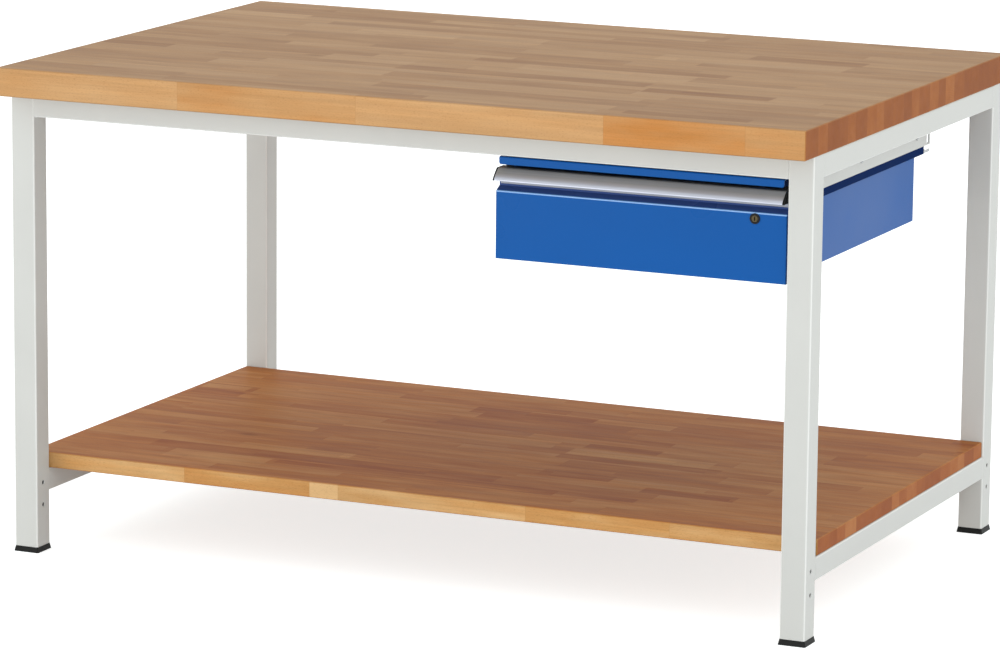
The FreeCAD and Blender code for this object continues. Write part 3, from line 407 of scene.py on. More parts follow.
# what both boards share: how strongly clouds move a tone on each face, and how dark each mark is
wood = {
    "topClouds": 1.6, "sideClouds": 2.0, "endClouds": 0.10, "sideTones": (0.3, 0.8), "rings": 0.35,
    "fleckMark": 0.40, "seamMark": 0.30, "knotMark": 0.75, "markTint": (0.66, 0.58, 0.50, 1),
    "knotSize": (0.003, 0.013), "knotStretch": 1.9,
    "facing": (0.6, 0.8),           # how squarely a face looks along an axis, from not at all to fully
    "middle": (0.25, 0.75),         # the levels of a noise between which it counts
    "seamDepth": 0.8, "relief": 0.00012, "reliefStrength": 0.5,
    "shine": 0.10, "swing": (-0.05, 0.10), "reach": (0.2, 0.8),
}


def beechMaterial(name, look):
    shader = {"IOR": 1.45, "Specular IOR Level": wood["shine"]}
    material, graph, sockets, place = newMaterial(name, shader)
    spot = graph.parts(place)
    front = graph.math("LESS_THAN", spot["Y"], look["frontRow"])
    column, joint, frontTone, last = 0.0, 1.0, look["firstTone"], look["firstTone"]
    for x, level in look["joints"]:
        passed = graph.math("GREATER_THAN", spot["X"], x)
        column = graph.math("ADD", passed, column)
        joint = graph.math("MINIMUM", graph.distance(spot["X"], x), joint)
        frontTone = graph.math("MULTIPLY_ADD", passed, level - last, frontTone)
        last = level
    stave = useGroup(graph, "staves", {
        "Vector": place, "Width": look["width"], "Length": look["length"], "Seed": look["seed"],
        "Front": front, "Front Column": column, "Front Joint": joint})
    chance = graph.add("SeparateColor", {"Color": stave["Random"]}).outputs
    grain = useGroup(graph, "grain", {"Vector": stave["Grain Vector"]})
    facing = graph.parts(graph.add("NewGeometry").outputs["Normal"])
    endward = graph.span(graph.math("ABSOLUTE", facing["X"]), *wood["facing"])
    upward = graph.span(graph.math("ABSOLUTE", facing["Z"]), *wood["facing"])

    # a stave's place on the ramp: chance first, then its patch, then the clouds in its figure
    tone = graph.span(chance["Red"], 0.0, 1.0, 0.5 - look["spread"], 0.5 + look["spread"])
    for x0, y0, x1, y1, level in look["patches"]:
        level = 0.5 + (level - 0.5) * look["patchStrength"]
        inside = useGroup(graph, "patch", {
            "Vector": place, "Centre": ((x0 + x1) / 2, (y0 + y1) / 2, 0),
            "Half": ((x1 - x0) / 2, (y1 - y0) / 2, 1)})["Inside"]
        tone = graph.swap(inside, tone, level)
    sway = graph.span(grain["Clouds"], *wood["middle"], -1.0, 1.0)
    stir = graph.span(grain["Streaks"], *wood["middle"], -1.0, 1.0)
    tone = graph.math("MULTIPLY_ADD", sway, look["cloud"] * wood["topClouds"], tone)
    # painted light: the top takes its darker, greyer ramp, the sides their lighter one
    flat = graph.ramp(tone, look["top"])
    sideTone = graph.swap(front, graph.span(chance["Green"], 0.0, 1.0, *wood["sideTones"]), frontTone)
    sideTone = graph.math("MULTIPLY_ADD", sway, look["cloud"] * wood["sideClouds"], sideTone)
    side = graph.ramp(sideTone, look["side"])
    endTone = graph.span(chance["Blue"], 0.0, 1.0, *look["endTones"])
    end = graph.ramp(graph.math("MULTIPLY_ADD", sway, wood["endClouds"], endTone), look["end"])
    colour = graph.mix(endward, graph.mix(upward, side, flat), end)
    ringed = graph.span(grain["Rings"], 0.0, 1.0, -wood["rings"], wood["rings"])
    shade = graph.math("MULTIPLY_ADD", graph.swap(endward, stir, ringed), look["streak"], 1.0)
    colour = graph.mix(1.0, colour, shade, "MULTIPLY")

    # a small knot, flecks and glue lines are darker; the knot is an ellipse, longer along X
    knotX, knotY = look["knot"]
    along = graph.math("DIVIDE", graph.math("SUBTRACT", spot["X"], knotX), wood["knotStretch"])
    across = graph.math("SUBTRACT", spot["Y"], knotY)
    squares = graph.math("ADD", graph.math("POWER", along, 2.0), graph.math("POWER", across, 2.0))
    far = graph.math("SQRT", squares)
    knot = graph.math("MULTIPLY", graph.span(far, *wood["knotSize"], 1.0, 0.0), upward)
    flecks = graph.math("MULTIPLY", grain["Flecks"], wood["fleckMark"])
    marks = graph.math("MAXIMUM", flecks, graph.math("MULTIPLY", stave["Seam"], wood["seamMark"]))
    marks = graph.math("MAXIMUM", marks, graph.math("MULTIPLY", knot, wood["knotMark"]))
    darker = graph.mix(1.0, colour, wood["markTint"], "MULTIPLY")
    graph.feed(sockets["Base Color"], graph.mix(marks, colour, darker))
    roughen(graph, sockets, grain["Streaks"], look["roughness"], wood["swing"], wood["reach"])
    seamDepth = graph.math("MULTIPLY", stave["Seam"], wood["seamDepth"])
    height = graph.math("SUBTRACT", grain["Streaks"], seamDepth)
    bump(graph, sockets, height, wood["relief"], wood["reliefStrength"])
    return material


# powder coats: "light" is the colour at edges, both wear and a painted highlight; "edge" is how wide an edge is
# and "peel" how deep the skin's unevenness, in metres; "gain" and "slant" say how strongly rounded and slanting
# corners turn light, a painted highlight
frameCoat = {
    "colour": (0.634, 0.634, 0.606), "light": (0.97, 0.97, 0.95), "roughness": 0.36, "shine": 0.30,
    "edge": 0.0020, "gain": 6.0, "slant": 9.0, "peel": 0.00002,
    # painted shade: the inside of the legs, a square round each leg's axis, is near black, as the hollow tubes
    # are dark inside
    "bore": {"x": 0.7255, "y": (-0.4295, 0.4575), "half": 0.0206, "colour": (0.030, 0.030, 0.030)},
}
# painted light: the hanger's grey is a slightly lighter copy of the frame's, for the brighter light it catches
hangerCoat = {
    "colour": (0.66, 0.66, 0.635), "light": (0.76, 0.76, 0.74), "roughness": 0.40, "shine": 0.25,
    "edge": 0.0016, "gain": 3.0, "slant": 0.0, "peel": 0.00002,
}
drawerCoat = {
    "colour": (0.003, 0.094, 0.366), "light": (0.06, 0.22, 0.60), "roughness": 0.30, "shine": 0.12,
    "edge": 0.0014, "gain": 2.0, "slant": 0.0, "peel": 0.000008,
}
frontCoat = {
    **drawerCoat,
    # painted highlight: a pale line along the front's fold, full and gone at these shares of its width; painted
    # shade: a darker recess above the fold
    "fold": {"height": 0.7183, "width": 0.0012, "front": -0.4385, "soft": (0.5, 1.3), "fade": 0.001,
             "line": (0.36, 0.60, 1.0), "recess": (0.036, 0.075, 0.250)},
}
# painted shade: a darker, duller copy of the drawer's blue, for the housing's sides that lie in shade under the
# rail and the hanger
shadedHousingCoat = {
    "colour": (0.004, 0.020, 0.095), "light": (0.010, 0.045, 0.19), "roughness": 0.65, "shine": 0.02,
    "edge": 0.0014, "gain": 2.0, "slant": 0.0, "peel": 0.000008,
}
# what all coats share
sprayed = {
    "grain": 650.0, "cloudy": (0.97, 1.025), "wearAndHighlight": 0.6, "peelStrength": 0.6,
    "swing": (-0.04, 0.05), "reach": (0.3, 0.7),
}


def coatMaterial(name, look):
    shader = {"IOR": 1.5, "Specular IOR Level": look["shine"]}
    material, graph, sockets, place = newMaterial(name, shader)
    coat = useGroup(graph, "coat", {"Vector": place, "Grain": sprayed["grain"]})
    edges = useGroup(graph, "edges", {"Radius": look["edge"], "Gain": look["gain"], "Slant": look["slant"]})
    cloudy = graph.span(coat["Cloud"], *sprayed["reach"], *sprayed["cloudy"])
    colour = graph.mix(1.0, (*look["colour"], 1), cloudy, "MULTIPLY")
    # edges turn paler: wear and a painted highlight
    wornAndLitEdges = graph.math("MULTIPLY", edges["Edge"], sprayed["wearAndHighlight"])
    colour = graph.mix(wornAndLitEdges, colour, (*look["light"], 1))
    # painted shade inside the hollow legs
    if "bore" in look:
        # distance from the nearest leg's axis, the larger of X and Y
        bore = look["bore"]
        spot = graph.parts(place)
        offX = graph.distance(graph.math("ABSOLUTE", spot["X"]), bore["x"])
        front, back = (graph.distance(spot["Y"], y) for y in bore["y"])
        off = graph.math("MAXIMUM", offX, graph.math("MINIMUM", front, back))
        inside = graph.math("LESS_THAN", off, bore["half"])
        colour = graph.mix(inside, colour, (*bore["colour"], 1))
    if "fold" in look:
        fold = look["fold"]
        spot = graph.parts(place)
        full, none = (fold["width"] * share for share in fold["soft"])
        # painted highlight: a pale line along the fold, on the front face only
        line = graph.span(graph.distance(spot["Z"], fold["height"]), full, none, 1.0, 0.0)
        line = graph.math("MULTIPLY", line, graph.math("LESS_THAN", spot["Y"], fold["front"]))
        # painted shade: above the fold the darker recess colour takes over
        edge = fold["height"] + fold["width"]
        recessShade = graph.span(spot["Z"], edge, edge + fold["fade"])
        colour = graph.mix(recessShade, colour, (*fold["recess"], 1))
        colour = graph.mix(line, colour, (*fold["line"], 1))
    graph.feed(sockets["Base Color"], colour)
    roughen(graph, sockets, coat["Cloud"], look["roughness"], sprayed["swing"], sprayed["reach"])
    bump(graph, sockets, coat["Peel"], look["peel"], sprayed["peelStrength"], edges["Normal"])
    return material


# moulded feet and end caps
plastic = {
    "colour": (0.008, 0.0085, 0.008), "light": (0.030, 0.031, 0.030), "roughness": 0.50, "shine": 0.18,
    "edge": 0.0012, "gain": 3.0, "wearAndHighlight": 0.7, "grain": 1600.0, "peel": 0.00008, "peelStrength": 0.7,
    "swing": (-0.05, 0.08), "reach": (0.3, 0.7),
}


def plasticMaterial(name, look):
    shader = {"IOR": 1.48, "Specular IOR Level": look["shine"]}
    material, graph, sockets, place = newMaterial(name, shader)
    coat = useGroup(graph, "coat", {"Vector": place, "Grain": look["grain"]})
    edges = useGroup(graph, "edges", {"Radius": look["edge"], "Gain": look["gain"]})
    # edges turn paler: wear and a painted highlight
    wornAndLitEdges = graph.math("MULTIPLY", edges["Edge"], look["wearAndHighlight"])
    colour = graph.mix(wornAndLitEdges, (*look["colour"], 1), (*look["light"], 1))
    graph.feed(sockets["Base Color"], colour)
    roughen(graph, sockets, coat["Cloud"], look["roughness"], look["swing"], look["reach"])
    bump(graph, sockets, coat["Peel"], look["peel"], look["peelStrength"])
    return material


# bare metals: the drawn aluminium grip, zinc plate, brass and blackened steel; colours run from "colour"
# to "tint" with the fine lines, and "fineness" is lines per metre along X, Y and Z; a painted shade darkens
# what lies beyond a place on its axis, from the first distance to the second
metals = {
    "grip": {
        "colour": (0.50, 0.525, 0.60), "tint": (0.59, 0.62, 0.71), "roughness": 0.36, "metallic": 0.45,
        "shine": 0.25, "fineness": (2.0, 1100.0, 1100.0),
        # painted shade and reflection: above 743 mm the grip turns darker and warmer, as though mirroring the
        # dark wooden underside; behind the leg's front, painted shade
        "paintedShades": [("Z", 0.7430, 0.7500, (0.74, 0.70, 0.60)), ("Y", -0.4300, -0.4294, (0.50, 0.50, 0.50))],
    },
    "zinc": {
        "colour": (0.42, 0.43, 0.44), "tint": (0.58, 0.59, 0.59), "roughness": 0.34, "metallic": 1.0,
        "shine": 0.25, "fineness": (60.0, 8.0, 500.0), "paintedShades": [],
    },
    "brass": {
        "colour": (0.045, 0.034, 0.018), "tint": (0.10, 0.078, 0.042), "roughness": 0.38, "metallic": 0.9,
        "shine": 0.25, "fineness": (900.0, 60.0, 900.0), "paintedShades": [],
    },
    "blackened": {
        "colour": (0.010, 0.010, 0.011), "tint": (0.03, 0.03, 0.033), "roughness": 0.46, "metallic": 0.0,
        "shine": 0.08, "fineness": (700.0, 60.0, 700.0), "paintedShades": [],
    },
}
# what all metals share
bare = {
    "edge": 0.0006, "gain": 2.0, "wearAndHighlight": 0.8, "relief": 0.00002, "reliefStrength": 0.5,
    "swing": (-0.05, 0.08), "reach": (0.3, 0.7),
}


def metalMaterial(name, look):
    shader = {"Metallic": look["metallic"], "Specular IOR Level": look["shine"]}
    material, graph, sockets, place = newMaterial(name, shader)
    drawn = useGroup(graph, "drawn", {"Vector": place, "Fineness": look["fineness"]})
    edges = useGroup(graph, "edges", {"Radius": bare["edge"], "Gain": bare["gain"]})
    lines = graph.span(drawn["Lines"], *bare["reach"])
    # edges turn towards the tint: wear and a painted highlight
    wornAndLitEdges = graph.math("MULTIPLY", edges["Edge"], bare["wearAndHighlight"])
    colour = graph.mix(graph.math("MAXIMUM", lines, wornAndLitEdges), (*look["colour"], 1), (*look["tint"], 1))
    spot = graph.parts(place)
    # painted shade: each entry darkens the colour beyond its place
    for axis, start, stop, level in look["paintedShades"]:
        shade = graph.mix(graph.span(spot[axis], start, stop), (1, 1, 1, 1), (*level, 1))
        colour = graph.mix(1.0, colour, shade, "MULTIPLY")
    graph.feed(sockets["Base Color"], colour)
    roughen(graph, sockets, drawn["Cloud"], look["roughness"], bare["swing"], bare["reach"])
    bump(graph, sockets, drawn["Lines"], bare["relief"], bare["reliefStrength"])
    return material


finishes = {
    "beech": beechMaterial("beech", beech),
    "frame_grey": coatMaterial("frameCoat", frameCoat),
    "hanger_grey": coatMaterial("hangerCoat", hangerCoat),
    "drawer_blue": coatMaterial("drawerCoat", drawerCoat),
    "frontCoat": coatMaterial("frontCoat", frontCoat),
    "shadedHousingCoat": coatMaterial("shadedHousingCoat", shadedHousingCoat),
    "bounceLitShelfBeech": beechMaterial("bounceLitShelfBeech", bounceLitShelfBeech),
    "black_plastic": plasticMaterial("mouldedPlastic", plastic),
    "grip_aluminium": metalMaterial("gripAluminium", metals["grip"]),
    "zinc_steel": metalMaterial("zincPlate", metals["zinc"]),
    "lock_brass": metalMaterial("lockBrass", metals["brass"]),
    "lock_black": metalMaterial("lockBlack", metals["blackened"]),
}
print("materials made:", len(finishes))

# nodes that have a finish of their own instead of their slot's: the shelf's is a painted-light copy of the
# beech, the front's carries a painted highlight and painted shade, the housing's is a painted-shade blue
ownFinish = {"shelf_board": "bounceLitShelfBeech", "drawer_front": "frontCoat", "drawer_housing": "shadedHousingCoat"}


def dress(node, material):
    piece = frame["nodes"][node]
    if not piece.material_slots:
        piece.data.materials.append(material)
    for slot in piece.material_slots:
        slot.material = material


for part in frame["record"]["subparts"]:
    dress(part["node"], finishes[ownFinish.get(part["node"], part["material_slot"])])


# mesh helpers: points come as arrays in millimetres, faces as arrays or lists of indices; a box has its
# corners at 0 or 1 along X, Y and Z; points closer together than mergeWithin, in metres, become one
mergeWithin = 1e-7
boxCorners = np.array([(x, y, z) for x in (0, 1) for y in (0, 1) for z in (0, 1)])
boxFaces = np.array([(0, 1, 3, 2), (4, 6, 7, 5), (0, 4, 5, 1), (2, 3, 7, 6), (0, 2, 6, 4), (1, 5, 7, 3)])


def gridFaces(rows, columns, closedRows=False, closedColumns=False):
    rowNumbers, columnNumbers = np.arange(rows - (not closedRows)), np.arange(columns - (not closedColumns))
    r, c = np.meshgrid(rowNumbers, columnNumbers, indexing="ij")
    r2, c2 = (r + 1) % rows, (c + 1) % columns
    corners = [r * columns + c, r * columns + c2, r2 * columns + c2, r2 * columns + c]
    return np.stack(corners, -1).reshape(-1, 4)


def repeatFaces(faces, count, step):
    return (np.arange(count)[:, None, None] * step + faces).reshape(-1, faces.shape[1])


# one face over the first ring of each repeated shape and one over its last ring
def capFaces(count, size, ring):
    starts = np.arange(count)[:, None] * size
    return np.stack([starts + np.arange(ring), starts + size - ring + np.arange(ring)], 1).reshape(-1, ring)


def newPiece(name, points, faces, finish, body, replaced=(), angle=35.0):
    mesh = bpy.data.meshes.new(name)
    mesh.from_pydata((np.asarray(points).reshape(-1, 3) / 1000.0).tolist(), [], [list(face) for face in faces])
    work = bmesh.new()
    work.from_mesh(mesh)
    bmesh.ops.remove_doubles(work, verts=work.verts, dist=mergeWithin)
    bmesh.ops.recalc_face_normals(work, faces=work.faces)
    work.to_mesh(mesh)
    work.free()
    mesh.shade_smooth()
    mesh.set_sharp_from_angle(angle=math.radians(angle))
    mesh.materials.append(finishes[finish])
    piece = bpy.data.objects.new(name, mesh)
    bpy.context.scene.collection.objects.link(piece)
    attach(piece, body)
    if replaced:
        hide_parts(*replaced)
    return piece


# grip: an extruded section; its face bends by a cube law, so it turns down quickly near the toe
grip = {
    "ends": (179.5, 694.5),
    "back": -412.0, "top": 757.5, "wall": 2.0,
    "support": 8.0,                 # one more point on the flat top, this far from the back
    "corner": (-438.4, 757.5), "toe": (-456.2, 739.2), "facePoints": 25,
    "slopes": (36.5, 73.0),         # degrees below level at the corner and at the toe
    # where the top meets the face it is rounded by a part of an ellipse
    "rounding": {"centre": (1.2, -0.75), "halves": (1.2, 0.744), "turn": 36.0, "points": 5},
    "nose": 1.5, "noseBevel": 0.5,
    "leg": (-429.0, -427.0, 729.5), "legBevel": 0.4,    # front, rear and foot
}


# a square end with two small bevels, from its lower front corner to the rear
def bevelledEnd(corner, width, bevel):
    return np.array(corner) + [(0, bevel), (bevel, 0), (width - bevel, 0), (width, bevel)]


def gripSection():
    corner, toe = np.array(grip["corner"]), np.array(grip["toe"])
    t = np.linspace(0.0, 1.0, grip["facePoints"])
    first, last = np.radians(grip["slopes"])
    slope = first + (last - first) * t ** 3
    # the face is the sum of short steps along that slope, stretched to end at the toe
    steps = np.cumsum(np.stack([-np.cos(slope), -np.sin(slope)], -1)[:-1], 0)
    face = np.vstack([[0.0, 0.0], steps])
    face = corner + face / face[-1] * (toe - corner)
    inner = face + np.stack([np.sin(slope), -np.cos(slope)], -1) * grip["wall"]
    below = grip["top"] - grip["wall"]
    inner = inner[inner[:, 1] < below]
    look = grip["rounding"]
    turn = np.radians(np.linspace(0.0, look["turn"], look["points"]))
    edge = corner + look["centre"] + np.stack([-np.sin(turn), np.cos(turn)], -1) * look["halves"]
    nose = bevelledEnd((toe[0], toe[1] - grip["nose"]), grip["wall"], grip["noseBevel"])
    front, rear, low = grip["leg"]
    foot = bevelledEnd((front, low), rear - front, grip["legBevel"])
    flat = [[grip["back"], grip["top"]], [grip["back"] - grip["support"], grip["top"]]]
    return np.vstack([flat, edge, face[1:], nose, inner[::-1], [[front, below]], foot,
                      [[rear, below], [grip["back"], below]]])


def addGrip():
    section = gripSection()
    count = len(section)
    points = np.zeros((2, count, 3))
    points[:, :, 0] = np.array(grip["ends"])[:, None]
    points[:, :, 1:] = section
    faces = gridFaces(2, count, closedColumns=True).tolist() + capFaces(1, 2 * count, count).tolist()
    newPiece("gripProfile", points, faces, "grip_aluminium", "drawer", ["grip_strip"], 25.0)


# lock: a turned ring and barrel; the profile is radius and depth behind the face
lock = {
    "axis": (642.0, 709.0), "face": -442.0, "sides": 72,
    "profile": [
        (9.0, 0.0), (9.0, -1.1), (8.75, -1.6), (8.2, -1.95), (7.6, -2.0), (6.5, -2.0), (6.1, -1.7),
        (5.9, -1.1), (5.56, -1.0), (5.56, 28.0), (7.9, 28.0), (7.9, 0.0),
    ],
}


def addLockRing():
    radius, depth = np.array(lock["profile"]).T
    angle = np.linspace(0.0, 2 * np.pi, lock["sides"], endpoint=False)[:, None]
    # each point of the profile turns about the axis: x + r cos a, z + r sin a
    points = np.zeros((lock["sides"], len(radius), 3))
    points[:, :, 0] = lock["axis"][0] + np.cos(angle) * radius
    points[:, :, 1] = lock["face"] + depth
    points[:, :, 2] = lock["axis"][1] + np.sin(angle) * radius
    faces = gridFaces(lock["sides"], len(radius), True, True)
    newPiece("lockRing", points, faces, "lock_black", "drawer", ["lock_barrel"])


# ball cages: a thin strip with real balls through it, above and below
balls = {
    "radius": 1.5, "pitch": 12.5, "strip": 0.6, "margin": 8.0,
    "rings": 8, "sides": 14, "pole": 0.001,     # radians from a ball's pole to its first ring
}


def addCage(side, stage):
    node = f"{side}_{stage}_cage"
    low, high = (np.array(corner) * 1000.0 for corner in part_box(node))
    radius, rings, sides = balls["radius"], balls["rings"], balls["sides"]
    rows = (low[2] + radius, high[2] - radius)
    middle = (low[0] + high[0]) / 2
    along = np.arange(low[1] + balls["margin"], high[1] - balls["margin"], balls["pitch"])
    # a ball's points: sin tilt cos turn, cos tilt, sin tilt sin turn
    tilts = np.linspace(balls["pole"], np.pi - balls["pole"], rings)
    turns = np.linspace(0, 2 * np.pi, sides, endpoint=False)
    tilt, turn = np.meshgrid(tilts, turns, indexing="ij")
    ball = np.stack([np.sin(tilt) * np.cos(turn), np.cos(tilt), np.sin(tilt) * np.sin(turn)], -1)
    ball = radius * ball.reshape(-1, 3)
    centres = np.array([(middle, y, z) for z in rows for y in along])
    ballPoints = (centres[:, None, :] + ball).reshape(-1, 3)
    ballFaces = repeatFaces(gridFaces(rings, sides, False, True), len(centres), len(ball))
    caps = capFaces(len(centres), len(ball), sides)
    size = np.array([high[0] - low[0], high[1] - low[1], balls["strip"]])
    stripCentres = np.array([(middle, (low[1] + high[1]) / 2, z) for z in rows])
    stripPoints = (stripCentres[:, None, :] + (boxCorners - 0.5) * size).reshape(-1, 3)
    stripFaces = repeatFaces(boxFaces, len(rows), len(boxCorners)) + len(ballPoints)
    points = np.vstack([ballPoints, stripPoints])
    faces = ballFaces.tolist() + caps.tolist() + stripFaces.tolist()
    newPiece(f"{side}{stage.title()}Balls", points, faces, "zinc_steel", f"{side}_{stage}_balls", [node])


# welds: a ground seam flush with the outer faces and a rippled bead in the inner corners
welds = {
    "post": 703.0, "postEnd": (-407.0, 435.0), "railFace": (-452.0, 480.0), "sideFace": 748.0,
    "inside": (-412.0, 440.0), "sideInside": 708.0, "levels": ((780.0, 820.0), (103.0, 143.0)),
}
bead = {
    "radius": 2.0, "ripple": 0.22, "pitch": 2.6, "root": 0.3,
    "clear": 2.0, "setBack": 3.0,       # how far upright and level beads stop short of the corners
    "taper": 14.0, "tip": 0.02, "stations": 64, "turns": 8,
}
seam = {
    "overlap": 0.5, "reach": 3.3,       # how far a seam laps into the rail and fills the leg's rounded corner
    "above": 1.2, "below": 0.05,        # what it leaves free at its lower and its upper end
    "sunkFront": 0.55, "sunkSide": 0.12,
}


def beadLines():
    lines = []      # start, end and the two directions that the bead fills
    clear, back = bead["clear"], bead["setBack"]
    down = (0, 0, -1)
    low, high = welds["levels"][0]
    for side in (-1, 1):
        x = welds["post"] * side
        across = (-side, 0, 0)
        for y, inward, face in zip(welds["inside"], (1, -1), welds["railFace"]):
            lines.append(((x, y, low + clear), (x, y, high - clear), across, (0, inward, 0)))
            lines.append(((x, face + back * inward, low), (x, y - back * inward, low), across, down))
        x, outer = welds["sideInside"] * side, welds["sideFace"] * side
        for bottom, top in welds["levels"]:
            for y, inward in zip(welds["postEnd"], (1, -1)):
                ahead = (0, inward, 0)
                lines.append(((x, y, bottom + clear), (x, y, top - clear), across, ahead))
                lines.append(((x + back * side, y, bottom), (outer - back * side, y, bottom), ahead, down))
    return np.array(lines, dtype=float)


def addWelds():
    lines = beadLines()
    count, turns = bead["stations"], bead["turns"]
    s = np.linspace(0.0, 1.0, count)
    angle = np.linspace(0.0, np.pi / 2, turns)[:, None]
    start, way, first, second = lines[:, 0], lines[:, 1] - lines[:, 0], lines[:, 2], lines[:, 3]
    length = np.linalg.norm(way, axis=1)[:, None]
    # radius = (bead + ripple * (the size of sin(pi * travel / pitch) - a half)), closing at both ends
    ripple = np.abs(np.sin(np.pi * s * length / bead["pitch"])) - 0.5
    fade = np.sqrt(np.clip(np.minimum(s, 1 - s) * bead["taper"], bead["tip"], 1.0))
    radius = (bead["radius"] + bead["ripple"] * ripple) * fade
    spine = start[:, None] + way[:, None] * s[:, None]
    fan = np.cos(angle) * first[:, None] + np.sin(angle) * second[:, None]
    skin = spine[:, :, None] + radius[:, :, None, None] * fan[:, None]
    root = spine - bead["root"] * (first + second)[:, None]
    points = np.concatenate([root[:, :, None], skin], 2)
    size = count * (turns + 1)
    faces = repeatFaces(gridFaces(count, turns + 1, False, True), len(lines), size).tolist()
    faces += capFaces(len(lines), size, turns + 1).tolist()
    newPiece("weldBeads", points, faces, "frame_grey", "frame")


def addSeams():
    # each seam is a three-sided prism in the notch between a rounded leg corner and a rail's end
    notch = []
    under, reach = seam["overlap"], seam["reach"]
    above, below = seam["above"], seam["below"]
    low, high = welds["levels"][0]
    for side in (-1, 1):
        x = welds["post"] * side
        for face, inward in zip(welds["railFace"], (1, -1)):
            y = face + seam["sunkFront"] * inward
            notch.append([(x - under * side, y), (x + reach * side, y), (x - under * side, y + reach * inward),
                          (low + above, high - below)])
        x = (welds["sideFace"] - seam["sunkSide"]) * side
        for bottom, top in welds["levels"]:
            for end, inward in zip(welds["postEnd"], (1, -1)):
                y = end + under * inward
                notch.append([(x, y), (x, end - reach * inward), (x - reach * side, y),
                              (bottom + above, top - below)])
    notch = np.array(notch)
    points = np.zeros((len(notch), 2, 3, 3))
    points[..., :2] = notch[:, None, :3]
    points[..., 2] = notch[:, 3, :, None]
    sides = np.array([(0, 1, 4, 3), (1, 2, 5, 4), (2, 0, 3, 5)])
    ends = np.array([(0, 1, 2), (3, 4, 5)])
    faces = [face for shape in (sides, ends) for face in repeatFaces(shape, len(notch), 6).tolist()]
    newPiece("groundSeams", points, faces, "frame_grey", "frame")


# socket screws: a round head with a hexagon in it; spots are the seats and the way the shank points
screws = {
    "frontScrews": {
        "node": "front_screws", "body": "drawer", "radius": 3.5, "height": 1.1, "shank": 2.0, "length": 3.4,
        "way": (0, -1, 0), "spots": [(x, -410.8, z) for z in (611, 748) for x in (287, 587)],
    },
    "hangerScrews": {
        "node": "hanger_screws", "body": "frame", "radius": 4.8, "height": 2.6, "shank": 2.4, "length": 24.0,
        "way": (0, 0, 1), "spots": [(x, y, 818) for x in (197, 677) for y in (-370, -77, 216)],
    },
}
# what all screws share, as shares of the head's radius and height, which counts against the shank's way
screwShape = {
    "sides": 36,
    "socket": 0.5, "socketEnds": (-0.35, -0.93), "chamfer": 1.18,       # the chamfer widens the socket's rim
    "head": [(0.72, -1.0), (0.93, -0.8), (1.0, -0.35), (1.0, 0.0)],
    "tip": 0.9,         # share of the shank's length where it begins to close
    "middle": 0.02,     # millimetres left open at the axis
}


def addScrews(name):
    look = screws[name]
    radius, height, shank, length = look["radius"], look["height"], look["shank"], look["length"]
    middle, socket = screwShape["middle"], radius * screwShape["socket"]
    floor, rim = (height * share for share in screwShape["socketEnds"])
    # from the socket's floor over the rim to the tip: share of hexagon, radius, place along the way
    profile = np.array(
        [(1, middle, floor), (1, socket, floor), (1, socket, rim), (0, socket * screwShape["chamfer"], -height)]
        + [(0, radius * across, height * along) for across, along in screwShape["head"]]
        + [(0, shank, 0), (0, shank, length * screwShape["tip"]), (0, middle, length)])
    angle = np.linspace(0.0, 2 * np.pi, screwShape["sides"], endpoint=False)
    # a hexagon's edge is cos 30 / cos of the angle from the middle of its side
    sixth = math.pi / 3
    hexagon = math.cos(sixth / 2) / np.cos((angle + sixth / 2) % sixth - sixth / 2)
    reach = profile[:, 1] * (1 + profile[:, 0] * (hexagon[:, None] - 1))
    way = np.array(look["way"], float)
    first = np.array([1.0, 0.0, 0.0])
    second = np.cross(way, first)
    ring = np.cos(angle)[:, None] * first + np.sin(angle)[:, None] * second
    screw = reach[..., None] * ring[:, None] + profile[:, 2, None] * way
    spots = np.array(look["spots"], float)
    points = spots[:, None, None] + screw
    size = len(angle) * len(profile)
    faces = repeatFaces(gridFaces(len(angle), len(profile), True, False), len(spots), size)
    newPiece(name, points, faces, "zinc_steel", look["body"], [look["node"]])


# small blocks: black rubber buffers behind the drawer front, which also stand as painted shade where the
# slides' bright ends would show through the gap, and the strip's ends folded back to the housing, in the
# housing's painted-shade blue; each box is its low and high X, then Y, then Z
blocks = {
    "gapShadeBuffers": {
        "finish": "black_plastic", "slot": "black_plastic", "body": "drawer", "bevel": 0.7,
        "boxes": [(183.0, 195.8, -412.0, -407.0, 730.0, 763.3), (678.2, 691.0, -412.0, -407.0, 730.0, 763.3)],
    },
    "stripReturns": {
        # the returns wear the housing's painted-shade blue
        "finish": "shadedHousingCoat", "slot": "drawer_blue", "body": "frame", "bevel": 0.3,
        "boxes": [(182.2, 183.6, -441.0, -408.2, 764.2, 776.6), (690.4, 691.8, -441.0, -408.2, 764.2, 776.6)],
    },
}


def addBlocks(name):
    look = blocks[name]
    boxes = np.array(look["boxes"]).reshape(-1, 3, 2)
    points = np.stack([boxes[:, axis, boxCorners[:, axis]] for axis in range(3)], -1)
    faces = repeatFaces(boxFaces, len(boxes), len(boxCorners))
    piece = newPiece(name, points, faces, look["finish"], look["body"])
    bevel = piece.modifiers.new("rounding", "BEVEL")
    bevel.width = look["bevel"] / 1000.0
    bevel.segments = 3


addGrip()
addLockRing()
for name in blocks:
    addBlocks(name)
for side in ("left", "right"):
    for stage in ("outer", "inner"):
        addCage(side, stage)
addWelds()
addSeams()
for name in screws:
    addScrews(name)
print("pieces added")


# studio: a white floor and surround, a soft lamp at the front left, a small low one at the front right
# and a weak one at the right; each lamp has its place, its width and its power in watts
studio = {
    "floorSize": 30.0,
    "floorColour": (0.80, 0.80, 0.80, 1),
    "glowColour": (0.97, 1.0, 1.0, 1),
    "floorGlow": 0.70,
    "ambientColour": (0.965, 1.0, 1.0, 1),
    "ambient": 0.91,
    "lamps": [
        ("frontLamp", (-2.6, -5.4, 1.05), 2.4, 53.0),
        ("fillLamp", (1.9, -5.9, 0.62), 1.2, 48.0),
        ("rightLamp", (5.2, -0.2, 0.95), 2.0, 26.0),
    ],
    "aim": (0.0, 0.0, 0.50),
}


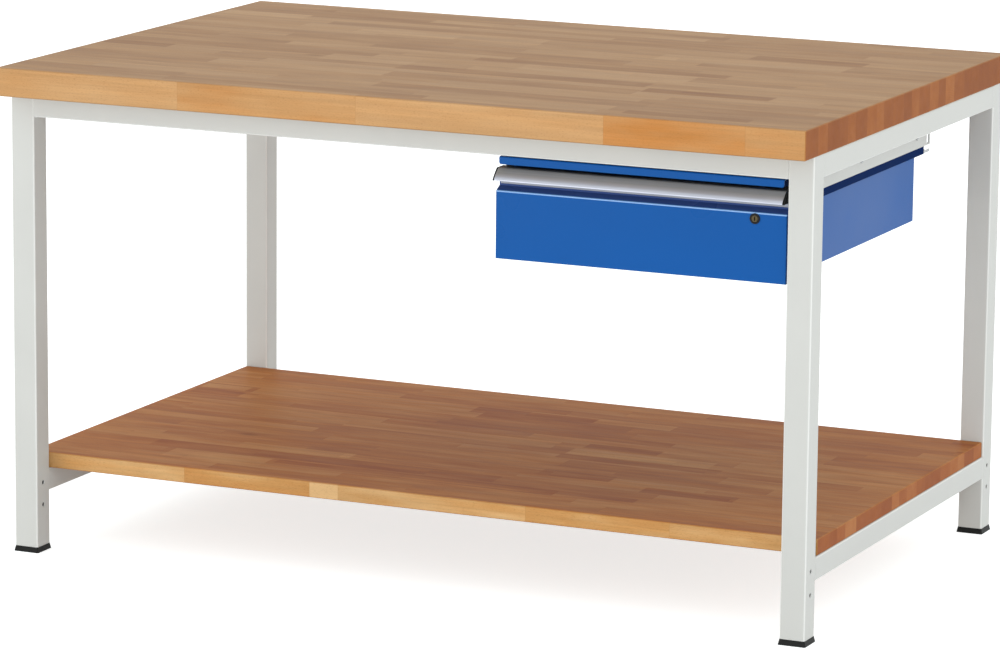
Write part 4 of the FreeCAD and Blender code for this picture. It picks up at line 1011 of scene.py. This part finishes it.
# an empty node tree whose output shows one shader where the eye meets it and another to all other light
def splitByRay(owner, output, makeShaders):
    owner.use_nodes = True
    owner.node_tree.nodes.clear()
    graph = Graph(owner.node_tree)
    lighting, looking = makeShaders(graph)
    ray = graph.add("LightPath").outputs
    seen = graph.math("MAXIMUM", ray["Is Camera Ray"], ray["Is Glossy Ray"])
    seen = graph.math("MAXIMUM", seen, ray["Is Transmission Ray"])
    choice = graph.add("MixShader", {"Fac": seen, 1: lighting, 2: looking})
    graph.add(output, {"Surface": choice.outputs[0]})


def floorShaders(graph):
    matt = graph.add("BsdfDiffuse", {"Color": studio["floorColour"]}).outputs[0]
    glow = graph.add("Emission", {"Color": studio["glowColour"], "Strength": studio["floorGlow"]}).outputs[0]
    return matt, graph.add("AddShader", {0: matt, 1: glow}).outputs[0]


def worldShaders(graph):
    ambient = {"Color": studio["ambientColour"], "Strength": studio["ambient"]}
    white = {"Color": (1, 1, 1, 1), "Strength": 1.0}
    return [graph.add("Background", inputs).outputs[0] for inputs in (ambient, white)]


def addStudio():
    half = studio["floorSize"] / 2
    mesh = bpy.data.meshes.new("floor")
    corners = [(-half, -half, 0), (half, -half, 0), (half, half, 0), (-half, half, 0)]
    mesh.from_pydata(corners, [], [(0, 1, 2, 3)])
    floor = bpy.data.objects.new("floor", mesh)
    bpy.context.scene.collection.objects.link(floor)
    material = bpy.data.materials.new("paleFloor")
    splitByRay(material, "OutputMaterial", floorShaders)
    mesh.materials.append(material)

    world = bpy.data.worlds.new("studio")
    bpy.context.scene.world = world
    splitByRay(world, "OutputWorld", worldShaders)

    for name, place, width, power in studio["lamps"]:
        lampData = bpy.data.lights.new(name, "AREA")
        lampData.shape = "SQUARE"
        lampData.size = width
        lampData.energy = power
        lamp = bpy.data.objects.new(name, lampData)
        bpy.context.scene.collection.objects.link(lamp)
        lamp.location = place
        aim = Vector(studio["aim"]) - Vector(place)
        lamp.rotation_euler = aim.to_track_quat("-Z", "Y").to_euler()


addStudio()
bpy.context.scene.view_settings.view_transform = "Standard"
print("studio ready")
